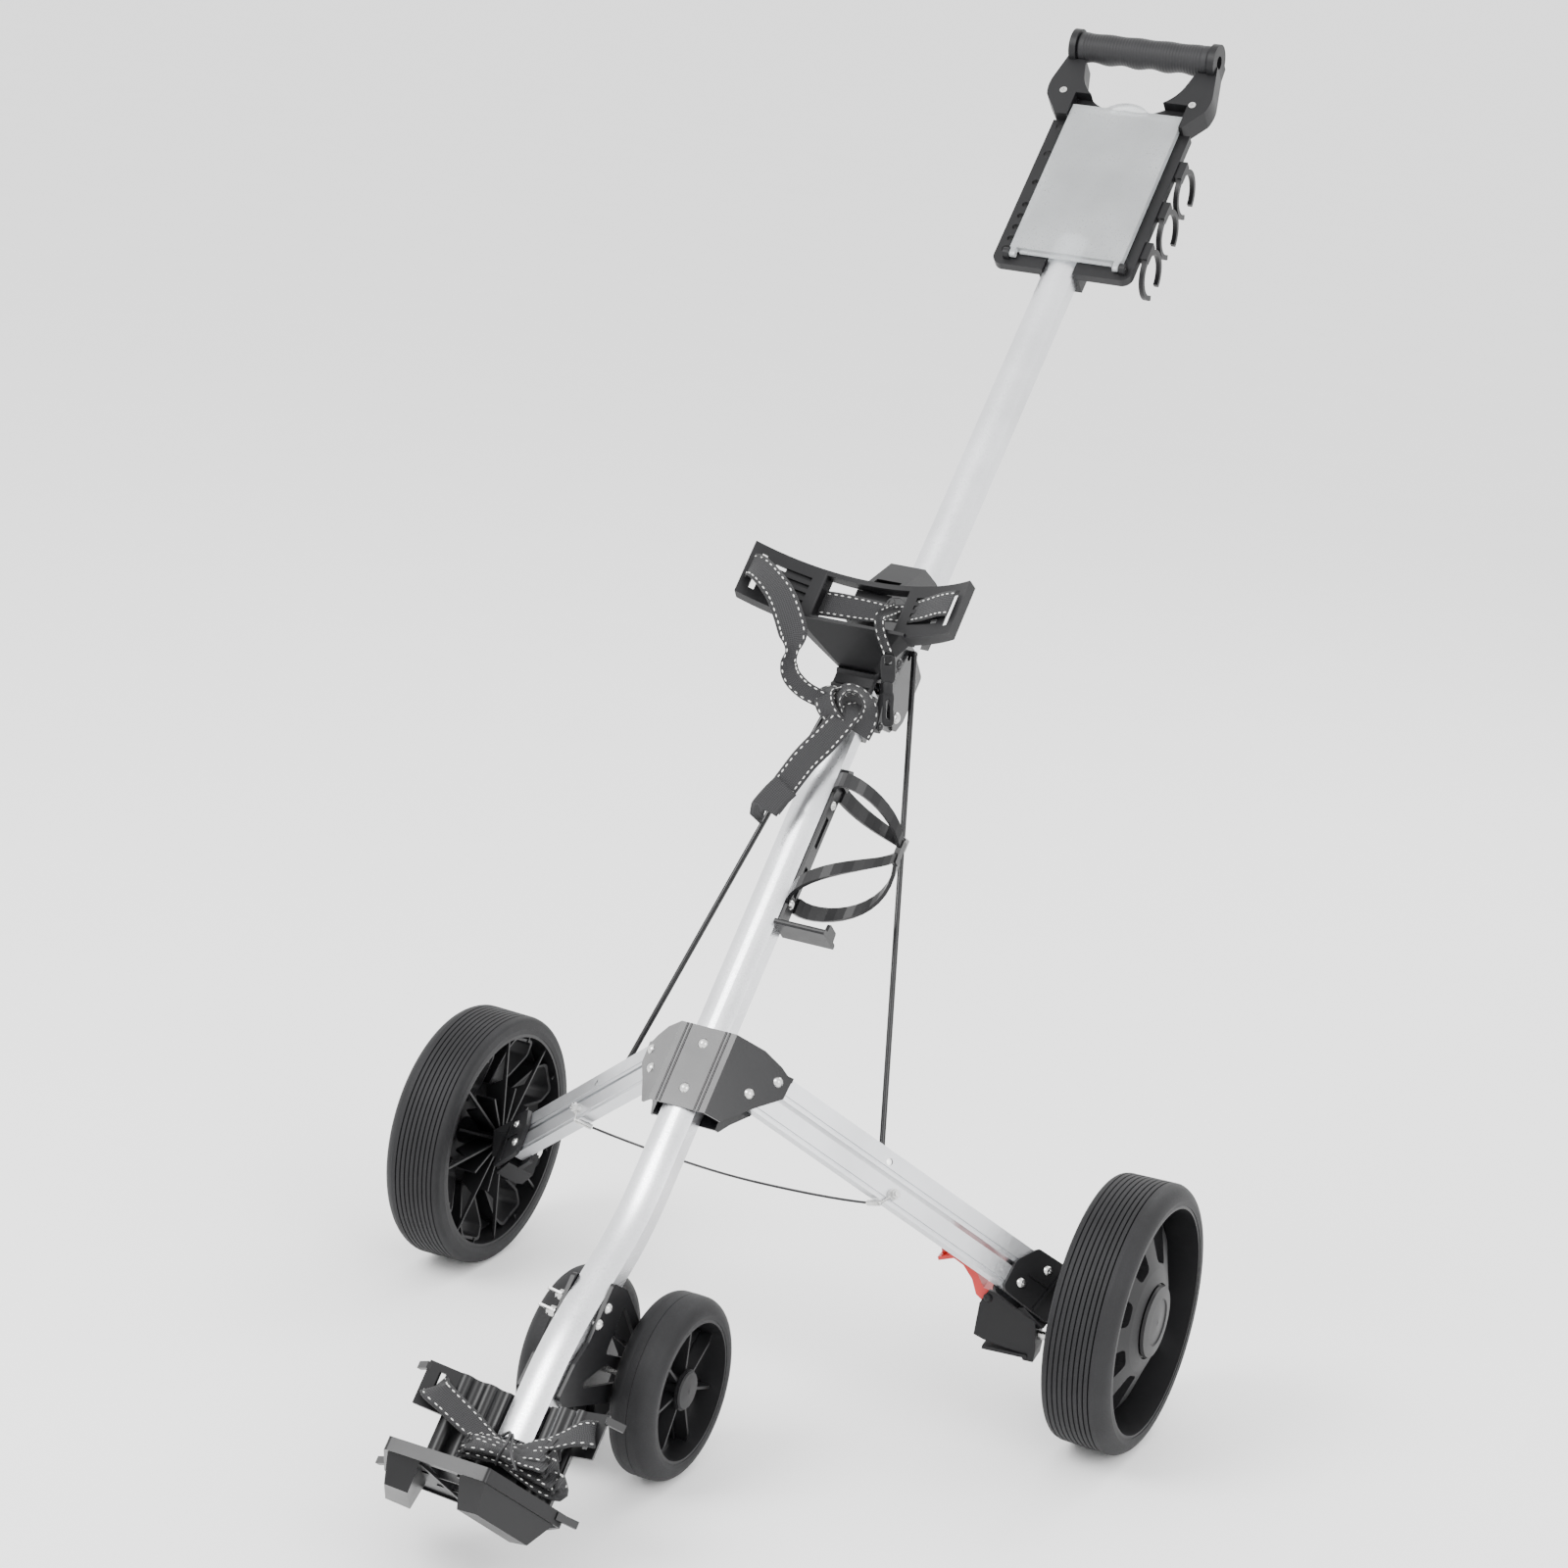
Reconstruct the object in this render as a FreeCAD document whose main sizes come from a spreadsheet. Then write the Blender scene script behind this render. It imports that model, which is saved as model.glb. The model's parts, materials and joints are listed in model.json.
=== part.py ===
"""Three-wheeled folding golf push trolley, drawn in millimetres with +Z up.

X runs across the trolley, +Y points back to the person who pushes it, and the ground is Z = 0.
The origin lies on the ground under the middle of the trolley's outline.
The lower tube carries the foot, the front wheels and the leg bracket. The upper tube folds back
and down about the hinge pin, and two push rods then swing the legs in beside the lower tube.
"""
import FreeCAD, Part
import math
import os
import Sketcher
from FreeCAD import Placement, Rotation, Vector

doc = FreeCAD.newDocument("GolfTrolley")
X_AXIS, Y_AXIS, Z_AXIS = Vector(1, 0, 0), Vector(0, 1, 0), Vector(0, 0, 1)

# ---------------------------------------------------------------- driving dimensions
DIMENSIONS = {
    # where the frame stands
    "axle_y": 3.7, "axle_height": 120.5,
    "lower_lean": 48.84, "upper_lean": 47.47,
    "lower_back": -184.0, "lower_height": 350.5,
    "upper_back": 279.9, "upper_height": 813.8,
    # tubes
    "tube_width": 31.0, "tube_side": 16.5, "tube_front_bulge": 4.5, "tube_back_bulge": 1.5, "tube_wall": 1.8,
    "lower_top": 342.0, "first_bend": -184.0, "second_bend": -305.0, "lower_end": -392.0,
    "bend_lean": 16.5, "end_lean": 2.5, "bend_radius": 250.0,
    "upper_bottom": -284.5, "upper_top": 232.0,
    # legs
    "wing_angle": 46.8, "leg_droop": 5.2, "leg_length": 300.7, "bar_width": 19.0, "bar_thick": 11.4,
    "bar_plane": 21.2, "bar_overhang": 9.0,
    "upper_pivot_out": 58.2, "upper_pivot_along": -22.3, "pivot_step_out": -20.3, "pivot_step_along": -21.5,
    "pivot_pin": 3.0, "running_gap": 0.05, "plate": 2.0, "rod_along": 124.0, "rod_radius": 2.6,
    # wheels
    "big_radius": 120.5, "big_width": 61.5, "big_inner": 298.7, "rim_radius": 103.0, "axle_radius": 6.0,
    "small_radius": 79.0, "small_width": 40.4, "small_inner": 24.4, "small_axle_y": -296.5, "small_rim": 61.0,
    "small_axle": 5.0,
    # hinge
    "hinge_along": 346.5, "hinge_depth": -45.2, "hinge_pin": 3.0, "hinge_plate": 2.5,
    # console and handle
    "board_width": 142.0, "board_length": 179.9, "board_thick": 9.0, "board_bottom": 186.0, "board_shift": 2.0,
    "lid_width": 114.0, "lid_length": 188.0, "lid_thick": 7.0, "lid_shift": 4.5,
    "grip_along": 451.5, "grip_lift": 23.0, "grip_length": 137.0, "grip_radius": 15.5, "grip_core": 9.0,
    "handle_depth": 22.0, "tee_hole": 2.6, "ball_radius": 21.4,
}

sheet = doc.addObject("Spreadsheet::Sheet", "Sizes")
for row, (name, value) in enumerate(DIMENSIONS.items(), start=1):
    sheet.set(f"A{row}", name)
    sheet.set(f"B{row}", str(value))
    sheet.setAlias(f"B{row}", name)
doc.recompute()


class Size(float):
    """A number that also remembers the sheet formula that it comes from."""

    def __new__(cls, value, formula):
        made = super().__new__(cls, value)
        made.formula = formula
        return made

    def joined(self, sign, other, value):
        right = other.formula if isinstance(other, Size) else repr(float(other))
        return Size(value, f"({self.formula} {sign} {right})")

    def __add__(self, other):
        return self.joined("+", other, float(self) + float(other))

    def __sub__(self, other):
        return self.joined("-", other, float(self) - float(other))

    def __mul__(self, other):
        return self.joined("*", other, float(self) * float(other))

    def __truediv__(self, other):
        return self.joined("/", other, float(self) / float(other))

    def __neg__(self):
        return Size(-float(self), f"(-1 * {self.formula})")


class Sheet:
    """Every sheet cell as an attribute, such as SIZE.tube_width."""

    def __getattr__(self, name):
        return Size(DIMENSIONS[name], f"Sizes.{name}")


SIZE = Sheet()

# ---------------------------------------------------------------- reference frames
# LOWER and UPPER: X across, Y up along the tube, Z out of its front face, on the tube's axis.
LOWER = Placement(Vector(0, SIZE.axle_y + SIZE.lower_back, SIZE.lower_height), Rotation(X_AXIS, SIZE.lower_lean))
UPPER = Placement(Vector(0, SIZE.axle_y + SIZE.upper_back, SIZE.upper_height), Rotation(X_AXIS, SIZE.upper_lean))


def moved(frame, x=0.0, y=0.0, z=0.0, turn=None):
    """A frame shifted, then turned, in its own directions."""
    return frame.multiply(Placement(Vector(x, y, z), turn or Rotation()))


# WING: the slanted plane of the right leg; X runs outwards, Y up the tube, Z out of its front.
WING = moved(LOWER, turn=Rotation(Y_AXIS, SIZE.wing_angle))
LEG_TURN = Rotation(Z_AXIS, -SIZE.leg_droop)
UPPER_PIVOT = moved(WING, SIZE.upper_pivot_out, SIZE.upper_pivot_along, SIZE.bar_plane, LEG_TURN)
LOWER_PIVOT = moved(WING, SIZE.upper_pivot_out + SIZE.pivot_step_out,
                    SIZE.upper_pivot_along + SIZE.pivot_step_along, SIZE.bar_plane, LEG_TURN)
UPPER_TIP = moved(UPPER_PIVOT, SIZE.leg_length)
LOWER_TIP = moved(LOWER_PIVOT, SIZE.leg_length)
# wheel frames: Z along the axle, outwards
OUT = Rotation(Y_AXIS, 90)
BIG_AXLE = Placement(Vector(SIZE.big_inner, SIZE.axle_y, SIZE.axle_height), OUT)
SMALL_AXLE = Placement(Vector(SIZE.small_inner, SIZE.axle_y + SIZE.small_axle_y, SIZE.small_radius), OUT)
PIN = moved(LOWER, 0, SIZE.hinge_along, SIZE.hinge_depth)

# ---------------------------------------------------------------- building helpers
kept = []


def keep(thing, label):
    """Name a finished sub-part, which is also the name of its file."""
    thing.Label = label
    kept.append(thing)
    return thing


def bind(thing, prop, size):
    """Set a property, tied to the sheet where the size comes from there."""
    if isinstance(size, Size):
        thing.setExpression(prop, size.formula)
    else:
        setattr(thing, prop, size)


def primitive(kind, frame, **sizes):
    made = doc.addObject(f"Part::{kind}", kind)
    for prop, size in sizes.items():
        bind(made, prop, size)
    made.Placement = frame
    return made


def block(frame, size_x, size_y, size_z, x=0.0, y=0.0, z=0.0):
    """A box centred on x and y, whose bottom is at z, in the frame's directions."""
    place = moved(frame, x - size_x / 2, y - size_y / 2, z)
    return primitive("Box", place, Length=size_x, Width=size_y, Height=size_z)


def rod(frame, radius, height, x=0.0, y=0.0, z=0.0):
    """A round bar from z upwards."""
    return primitive("Cylinder", moved(frame, x, y, z), Radius=radius, Height=height)


def dome(frame, radius, x=0.0, y=0.0, z=0.0, flat=0.62):
    """A button head: the cap of a ball that stands on z."""
    ball = radius * (1 + flat * flat) / (2 * flat)
    head = primitive("Sphere", moved(frame, x, y, z - ball + radius * flat), Radius=ball)
    cutter = block(frame, 4 * radius, 4 * radius, 2 * ball, x, y, z)
    return common(head, cutter)


def fuse(*pieces):
    made = doc.addObject("Part::MultiFuse", "Fusion")
    made.Shapes = list(pieces)
    return made


def group(*pieces):
    made = doc.addObject("Part::Compound", "Group")
    made.Links = list(pieces)
    return made


def cut(base, *tools):
    made = doc.addObject("Part::Cut", "Cut")
    made.Base = base
    made.Tool = tools[0] if len(tools) == 1 else fuse(*tools)
    return made


def common(first, second):
    made = doc.addObject("Part::Common", "Common")
    made.Base = first
    made.Tool = second
    return made


def mirror(thing, label):
    """The left-hand twin of a right-hand piece."""
    made = doc.addObject("Part::Mirroring", "Mirror")
    made.Source = thing
    made.Normal = X_AXIS
    return keep(made, label)


def new_body(frame):
    body = doc.addObject("PartDesign::Body", "Body")
    body.Placement = frame
    return body


def sketch_on(body, role, height=0.0):
    """A sketch on one of the body's own planes, lifted by a height."""
    sketch = body.newObject("Sketcher::SketchObject", "Sketch")
    plane = next(item for item in body.Origin.OriginFeatures if item.Role == role)
    sketch.AttachmentSupport = [(plane, "")]
    sketch.MapMode = "FlatFace"
    sketch.AttachmentOffset = Placement(Vector(0, 0, height), Rotation())
    if isinstance(height, Size):
        sketch.setExpression("AttachmentOffset.Base.z", height.formula)
    return sketch


def tie(sketch, kind, *where):
    """One dimension of a sketch, bound to the sheet where it comes from there."""
    number = sketch.addConstraint(Sketcher.Constraint(kind, *where[:-1], float(where[-1])))
    if isinstance(where[-1], Size):
        sketch.setExpression(f"Constraints[{number}]", where[-1].formula)


def ring(sketch, x, y, radius):
    """A circle with its centre and radius dimensioned."""
    circle = sketch.addGeometry(Part.Circle(Vector(x, y, 0), Z_AXIS, float(radius)))
    tie(sketch, "Radius", circle, radius)
    tie(sketch, "DistanceX", -1, 1, circle, 3, x)
    tie(sketch, "DistanceY", -1, 1, circle, 3, y)


def arc_through(start, middle, end):
    """A counter-clockwise arc over three points, and whether it had to be turned round."""
    circle = Part.Arc(start, middle, end).toShape().Curve
    centre = circle.Center
    angles = [math.atan2(point.y - centre.y, point.x - centre.x) for point in (start, middle, end)]
    backwards = (angles[1] - angles[0]) % (2 * math.pi) > (angles[2] - angles[0]) % (2 * math.pi)
    first, last = (angles[2], angles[0]) if backwards else (angles[0], angles[2])
    return Part.ArcOfCircle(Part.Circle(centre, Z_AXIS, circle.Radius), first, last), backwards


def outline(sketch, corners):
    """A closed ring of edges. A corner is (x, y), or (x, y, mid_x, mid_y) for an arc that ends there."""
    first = sketch.GeometryCount
    count = len(corners)
    start_of, end_of = [], []
    for index, corner in enumerate(corners):
        start = Vector(*corners[index - 1][:2], 0)
        end = Vector(*corner[:2], 0)
        backwards = False
        if len(corner) == 2:
            sketch.addGeometry(Part.LineSegment(start, end))
        else:
            arc, backwards = arc_through(start, Vector(*corner[2:], 0), end)
            sketch.addGeometry(arc)
        start_of.append((first + index, 2 if backwards else 1))
        end_of.append((first + index, 1 if backwards else 2))
    for index, corner in enumerate(corners):
        sketch.addConstraint(Sketcher.Constraint("Coincident", *end_of[index], *start_of[(index + 1) % count]))
        tie(sketch, "DistanceX", -1, 1, *end_of[index], corner[0])
        tie(sketch, "DistanceY", -1, 1, *end_of[index], corner[1])


def feature(body, kind, sketch, **settings):
    made = body.newObject(f"PartDesign::{kind}", kind)
    made.Profile = sketch
    for prop, size in settings.items():
        bind(made, prop, size)
    return made


def pad(body, sketch, length, both=False):
    return feature(body, "Pad", sketch, Length=length, Midplane=both)


def pocket(body, sketch, length, both=False, flip=False):
    return feature(body, "Pocket", sketch, Length=length, Midplane=both, Reversed=flip)


def spin(body, sketch, kind="Revolution"):
    """Turn a profile drawn as (radius, height) about the body's Z axis."""
    made = feature(body, kind, sketch)
    made.ReferenceAxis = (sketch, ["V_Axis"])
    made.Angle = 360
    return made


def repeat_round(body, source, count):
    """Copies of a feature around the body's Z axis."""
    pattern = body.newObject("PartDesign::PolarPattern", "PolarPattern")
    pattern.Originals = [source]
    pattern.Axis = (next(item for item in body.Origin.OriginFeatures if item.Role == "Z_Axis"), [""])
    pattern.Angle = 360
    pattern.Occurrences = count
    body.Tip = pattern
    return pattern


def slab(frame, corners, thickness, z=0.0, holes=()):
    """A flat plate from its outline in the frame's XY plane, with round holes (x, y, radius)."""
    body = new_body(frame)
    sketch = sketch_on(body, "XY_Plane", z)
    outline(sketch, corners)
    for hole in holes:
        ring(sketch, *hole)
    pad(body, sketch, thickness)
    return body


def round_corners(corners, radius):
    """The same outline with each corner turned into an arc of one radius."""
    rounded = []
    count = len(corners)
    for index, corner in enumerate(corners):
        here = Vector(*corner, 0)
        back = (Vector(*corners[index - 1], 0) - here).normalize()
        ahead = (Vector(*corners[(index + 1) % count], 0) - here).normalize()
        half = back.getAngle(ahead) / 2
        reach = radius / math.tan(half)
        middle = (back + ahead).normalize() * (radius / math.sin(half) - radius)
        start, end, mid = here + back * reach, here + ahead * reach, here + middle
        rounded.append((start.x, start.y))
        rounded.append((end.x, end.y, mid.x, mid.y))
    return rounded


def loft(frame, first, second):
    """A closed solid between two outlines that have the same number of corners."""
    wires = [Part.makePolygon([Vector(*point) for point in points + points[:1]]) for points in (first, second)]
    solid = doc.addObject("Part::Feature", "Loft")
    solid.Shape = Part.makeLoft(wires, True, True)
    solid.Placement = frame
    return solid


# ---------------------------------------------------------------- tubes
BOLT_SPOTS = ((-262.8, 24.6), (-278.7, 28.6))
HINGE_RIVETS = ((308.0, 1.5), (330.0, 1.5))
CAGE_SCREWS = (128.0, 228.0)


def tube_section(sketch, wall=0.0):
    """The tube's outline: flat sides, a broad bulged front (up the sketch) and a nearly flat back."""
    half = SIZE.tube_width / 2 - wall
    side = SIZE.tube_side / 2
    front = side + SIZE.tube_front_bulge - wall
    back = side + SIZE.tube_back_bulge - wall
    outline(sketch, [(half, side), (-half, side, 0, front), (-half, -side), (half, -side, 0, -back)])


def make_lower_tube():
    """The straight tube with two easy bends near the foot."""
    slope = math.radians(SIZE.bend_lean)
    end_slope = math.radians(SIZE.end_lean)
    lift = (SIZE.first_bend - SIZE.second_bend) * math.tan(slope)
    end_lift = lift + (SIZE.second_bend - SIZE.lower_end) * math.tan(end_slope)
    corners = [Vector(0, SIZE.lower_top, 0), Vector(0, SIZE.first_bend, 0), Vector(0, SIZE.second_bend, lift),
               Vector(0, SIZE.lower_end, end_lift)]
    edges = []
    start = corners[0]
    for before, corner, after in zip(corners, corners[1:], corners[2:]):
        back = (before - corner).normalize()
        ahead = (after - corner).normalize()
        half = back.getAngle(ahead) / 2
        reach = SIZE.bend_radius / math.tan(half)
        middle = corner + (back + ahead).normalize() * (SIZE.bend_radius / math.sin(half) - SIZE.bend_radius)
        enter, leave = corner + back * reach, corner + ahead * reach
        edges += [Part.LineSegment(start, enter).toShape(), Part.Arc(enter, middle, leave).toShape()]
        start = leave
    edges.append(Part.LineSegment(start, corners[-1]).toShape())
    spine = Part.Wire(edges)

    shells = []
    for wall in (0.0, float(SIZE.tube_wall)):
        half, side = SIZE.tube_width / 2 - wall, SIZE.tube_side / 2
        front, back = side + SIZE.tube_front_bulge - wall, side + SIZE.tube_back_bulge - wall
        top = float(SIZE.lower_top)
        right_back, right_front = Vector(half, top, -side), Vector(half, top, side)
        left_back, left_front = Vector(-half, top, -side), Vector(-half, top, side)
        section = Part.Wire([
            Part.LineSegment(right_back, right_front).toShape(),
            Part.Arc(right_front, Vector(0, top, front), left_front).toShape(),
            Part.LineSegment(left_front, left_back).toShape(),
            Part.Arc(left_back, Vector(0, top, -back), right_back).toShape()])
        shells.append(spine.makePipeShell([section], True, False))
    tube = doc.addObject("Part::Feature", "LowerTube")
    tube.Shape = shells[0].cut(shells[1])
    tube.Placement = LOWER
    holes = [rod(moved(LOWER, 0, along, -40), 3, 80) for along in RIVET_ALONG]
    holes += [rod(moved(LOWER, -40, *spot, OUT), 2.5, 80) for spot in BOLT_SPOTS]
    holes += [rod(moved(LOWER, -40, *spot, OUT), 2, 80) for spot in HINGE_RIVETS]
    holes += [rod(moved(LOWER, 8, along, 0, OUT), 2, 40) for along in CAGE_SCREWS]
    return keep(cut(tube, *holes), "lower_tube")


def make_upper_tube():
    body = new_body(UPPER)
    sketch = sketch_on(body, "XZ_Plane", -SIZE.upper_top)
    tube_section(sketch)
    tube_section(sketch, SIZE.tube_wall)
    pad(body, sketch, SIZE.upper_top - SIZE.upper_bottom)
    return keep(body, "upper_tube")


# ---------------------------------------------------------------- leg bracket on the lower tube
def bent_strip(inner, thickness, flat_z, reach):
    """Section of a plate bent from across the tube into the two slanted wings, as (x, z) corners."""
    wing = math.radians(SIZE.wing_angle)
    along = Vector(math.cos(wing), -math.sin(wing), 0)

    def side(height, plane):
        bend = Vector((plane - math.cos(wing) * height) / math.sin(wing), height, 0)
        tip = along * reach + Vector(math.sin(wing), math.cos(wing), 0) * plane
        return bend, tip

    low_bend, low_tip = side(flat_z, inner)
    high_bend, high_tip = side(flat_z + thickness, inner + thickness)
    right = [low_bend, low_tip, high_tip, high_bend]
    left = [Vector(-corner.x, corner.y, 0) for corner in reversed(right)]
    return [(corner.x, corner.y) for corner in right + left]


def bracket_plate(inner, flat_z, top, bottom, reach, wing_cuts):
    """A pressed plate: the bent strip, with its wings trimmed to shape on both sides."""
    body = new_body(LOWER)
    sketch = sketch_on(body, "XZ_Plane", -top)
    outline(sketch, bent_strip(inner, SIZE.plate, flat_z, reach))
    pad(body, sketch, top - bottom)
    trims = []
    for corners in wing_cuts:
        trims.append(slab(WING, corners, 40, z=float(inner) - 20))
    pin_holes = [rod(frame, SIZE.pivot_pin, 60, z=-30) for frame in (UPPER_PIVOT, LOWER_PIVOT)]
    tools = trims + pin_holes
    twins = []
    for tool in tools:
        twin = doc.addObject("Part::Mirroring", "Mirror")
        twin.Source = tool
        twin.Normal = X_AXIS
        twins.append(twin)
    return cut(body, *tools, *twins)


BRACKET_TOP, BRACKET_BOTTOM, WING_REACH = -4.0, -78.0, 70.0
FRONT_PLANE = SIZE.bar_plane + SIZE.bar_thick / 2 + 0.4
BACK_PLANE = SIZE.bar_plane - SIZE.bar_thick / 2 - SIZE.plate - 0.4
FRONT_FLAT = SIZE.tube_side / 2 + SIZE.tube_front_bulge
BACK_FLAT = -(SIZE.tube_side / 2 + SIZE.tube_back_bulge + SIZE.plate)
RIVET_ALONG = (-19.0, -61.0)


def make_centre_bracket():
    out, along = float(SIZE.upper_pivot_out), float(SIZE.upper_pivot_along)
    upper_trim = [(18, 1), (80, 1), (80, -12), (out + 6, along + 9), (out - 2, along + 13)]
    lower_trim = [(22, -80), (30, -71), (48, -52), (out + 10, along - 11), (out + 11, along + 5), (80, along + 5),
                  (80, -80)]
    front = bracket_plate(FRONT_PLANE, FRONT_FLAT, BRACKET_TOP, BRACKET_BOTTOM, WING_REACH,
                          [upper_trim, lower_trim])
    holes = [rod(moved(LOWER, 0, place, 0, Rotation()), 3, 40) for place in RIVET_ALONG]
    beads = []
    for x in (-20.0, -16.5, 16.5, 20.0):
        bead = rod(moved(LOWER, x, BRACKET_TOP, FRONT_FLAT + 0.9, Rotation(X_AXIS, 90)), 1.5,
                   BRACKET_TOP - BRACKET_BOTTOM)
        beads.append(bead)
    keep(cut(fuse(front, *beads), *holes), "centre_bracket_front")

    back_lower = [(30, -84), (38, -72), (52, -56), (out + 4, along - 12), (out + 9, along + 2), (80, along + 2), (80, -84)]
    back = bracket_plate(BACK_PLANE, BACK_FLAT, BRACKET_TOP - 2, BRACKET_BOTTOM - 4, WING_REACH - 2,
                         [upper_trim, back_lower])
    spine_holes = [rod(moved(LOWER, 0, place, -40), 3, 40) for place in RIVET_ALONG]
    keep(cut(back, *spine_holes), "centre_bracket_back")

    rivets = []
    for place in RIVET_ALONG:
        foot = moved(LOWER, 0, place)
        top = FRONT_FLAT + SIZE.plate
        rivets += [rod(foot, 3, top - BACK_FLAT + 2, z=float(BACK_FLAT) - 2),
                   dome(foot, 4.6, z=float(top)), rod(foot, 4.4, 1.6, z=float(BACK_FLAT) - 1.6)]
    shanks = []
    for frame in (UPPER_PIVOT, LOWER_PIVOT):
        reach = SIZE.bar_thick / 2 + 0.4 + SIZE.plate
        shanks.append(fuse(rod(frame, SIZE.pivot_pin, reach * 2 + 1.4, z=-float(reach) - 1.4),
                           dome(frame, 4.6, z=float(reach)), rod(frame, 4.6, 1.4, z=-float(reach) - 1.4)))
    right = group(*shanks)
    left = doc.addObject("Part::Mirroring", "Mirror")
    left.Source = right
    left.Normal = X_AXIS
    keep(group(fuse(*rivets), right, left), "bracket_rivets")


# ---------------------------------------------------------------- legs
def leg_bar(frame, label, holes):
    """An aluminium extrusion: a channel open at the back, with a step along its lower front edge."""
    body = new_body(moved(frame, -SIZE.bar_overhang))
    half, depth = SIZE.bar_width / 2, SIZE.bar_thick / 2
    sketch = sketch_on(body, "YZ_Plane")
    outline(sketch, [
        (-half, -depth), (-half + 1.6, -depth), (-half + 1.6, depth - 3.2), (half - 1.6, depth - 1.6),
        (half - 1.6, -depth), (half, -depth), (half, depth), (-half + 4.6, depth), (-half + 4.2, depth - 1.2),
        (-half + 3.4, depth - 1.2), (-half + 3.0, depth - 0.6), (-half, depth - 0.6)])
    pad(body, sketch, SIZE.leg_length + SIZE.bar_overhang * 2)
    through = sketch_on(body, "XY_Plane")
    for place, radius in holes:
        ring(through, SIZE.bar_overhang + place, 0, radius)
    pocket(body, through, 40, both=True)
    return keep(body, label)


def make_legs():
    pin_hole = SIZE.pivot_pin + SIZE.running_gap
    upper = leg_bar(UPPER_PIVOT, "right_upper_bar", [(0, pin_hole), (SIZE.rod_along, 3.1), (SIZE.leg_length, pin_hole)])
    lower = leg_bar(LOWER_PIVOT, "right_lower_bar", [(0, pin_hole), (CABLE_ALONG, 2.5), (SIZE.leg_length, pin_hole)])
    mirror(upper, "left_upper_bar")
    mirror(lower, "left_lower_bar")
    return upper


CABLE_ALONG = 158.0


def cable_bolt():
    """A bolt, washer and nut through the right lower bar that hold the cable's eyelet."""
    spot = moved(LOWER_PIVOT, CABLE_ALONG, 0, SIZE.bar_thick / 2)
    nut = new_body(moved(spot, z=4.4))
    sketch = sketch_on(nut, "XY_Plane")
    corners = [(4.2 * math.cos(math.radians(60 * k)), 4.2 * math.sin(math.radians(60 * k))) for k in range(6)]
    outline(sketch, corners)
    pad(nut, sketch, 3.2)
    return fuse(rod(spot, 2.5, 9.5 + SIZE.bar_thick, z=-float(SIZE.bar_thick)), rod(spot, 4.8, 1.2), nut,
                rod(spot, 4.4, 2.4, z=-float(SIZE.bar_thick) - 2.4))


# ---------------------------------------------------------------- wheels
def make_big_wheel():
    """Foamed tyre with ribbed tread, on a deep dished wheel with eight petal openings."""
    outer, width, rim = float(SIZE.big_radius), float(SIZE.big_width), float(SIZE.rim_radius)
    tyre = new_body(BIG_AXLE)
    sketch = sketch_on(tyre, "XZ_Plane")
    corners = [(rim, 0.8), (rim + 5, 0), (outer - 7, 0.6), (outer - 1.6, 5, outer - 3.2, 2.0)]
    start, pitch, depth = 7.0, 4.7, 1.3
    for number in range(9):
        z = start + number * pitch
        corners += [(outer - 1.1 + 0.13 * min(number, 8), z), (outer - 1.4 - depth, z + 0.7),
                    (outer - 1.0 + 0.13 * min(number, 8), z + 1.4)]
    corners += [(outer, 50), (rim + 5, width, outer - 3.6, width - 4.6), (rim, width - 0.6)]
    outline(sketch, corners)
    spin(tyre, sketch)
    keep(tyre, "right_wheel_tyre")

    hub = new_body(BIG_AXLE)
    sketch = sketch_on(hub, "XZ_Plane")
    bore = SIZE.axle_radius + SIZE.running_gap
    outline(sketch, [(rim, 1.2), (rim, width - 1.2), (rim - 2.6, width - 1.2), (rim - 3, 27), (82, 39), (46, 53),
                     (34, 56.5), (33, 54.5), (13, 54.5), (bore, 54.5), (bore, 2), (13, 2), (13, 46), (32, 50.5),
                     (45, 49.6), (80, 36), (rim - 3, 23.5), (rim - 3, 1.2)])
    spin(hub, sketch)
    petal = round_corners([(50, -9.5), (84, -19.5), (95, -15), (95, 15), (84, 19.5), (50, 9.5)], 5.5)
    petal_wall = round_corners([(47.6, -11.8), (83.5, -22.2), (97.6, -17), (97.6, 17), (83.5, 22.2), (47.6, 11.8)], 7)
    band = new_body(BIG_AXLE)
    band_sketch = sketch_on(band, "XZ_Plane")
    outline(band_sketch, [(44, 30), (44, 52.6), (100, 28), (100, 8), (82, 14)])
    spin(band, band_sketch)
    walls, openings = [], []
    for number in range(8):
        turned = moved(BIG_AXLE, turn=Rotation(Z_AXIS, 22.5 + number * 45))
        walls.append(slab(turned, petal_wall, 60))
        openings.append(slab(turned, petal, 70, z=-2))
    ribs = [block(moved(BIG_AXLE, turn=Rotation(Z_AXIS, 22.5 * number)), 90, 2.2, 20, x=57.5, z=4)
            for number in range(16)]
    rib_space = new_body(BIG_AXLE)
    rib_sketch = sketch_on(rib_space, "XZ_Plane")
    outline(rib_sketch, [(12, 4), (12, 40), (44, 34), (60, 8), (96, 6), (102, 4)])
    spin(rib_space, rib_sketch)
    solid = fuse(hub, common(fuse(*walls), band), common(fuse(*ribs), rib_space))
    wheel = cut(solid, *openings)
    keep(wheel, "right_wheel_hub")

    cap = new_body(BIG_AXLE)
    sketch = sketch_on(cap, "XZ_Plane")
    outline(sketch, [(0, 56.2), (31.6, 56.2), (32.6, 57.6), (31.6, 60.2), (21.4, 61.3), (20.4, 60.2), (0, 61.6)])
    spin(cap, sketch)
    stub = rod(BIG_AXLE, 9, 1.5, z=54.9)
    cap = fuse(cap, stub)
    keep(cap, "right_wheel_cap")
    mirror(tyre, "left_wheel_tyre")
    mirror(wheel, "left_wheel_hub")
    mirror(cap, "left_wheel_cap")


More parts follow.
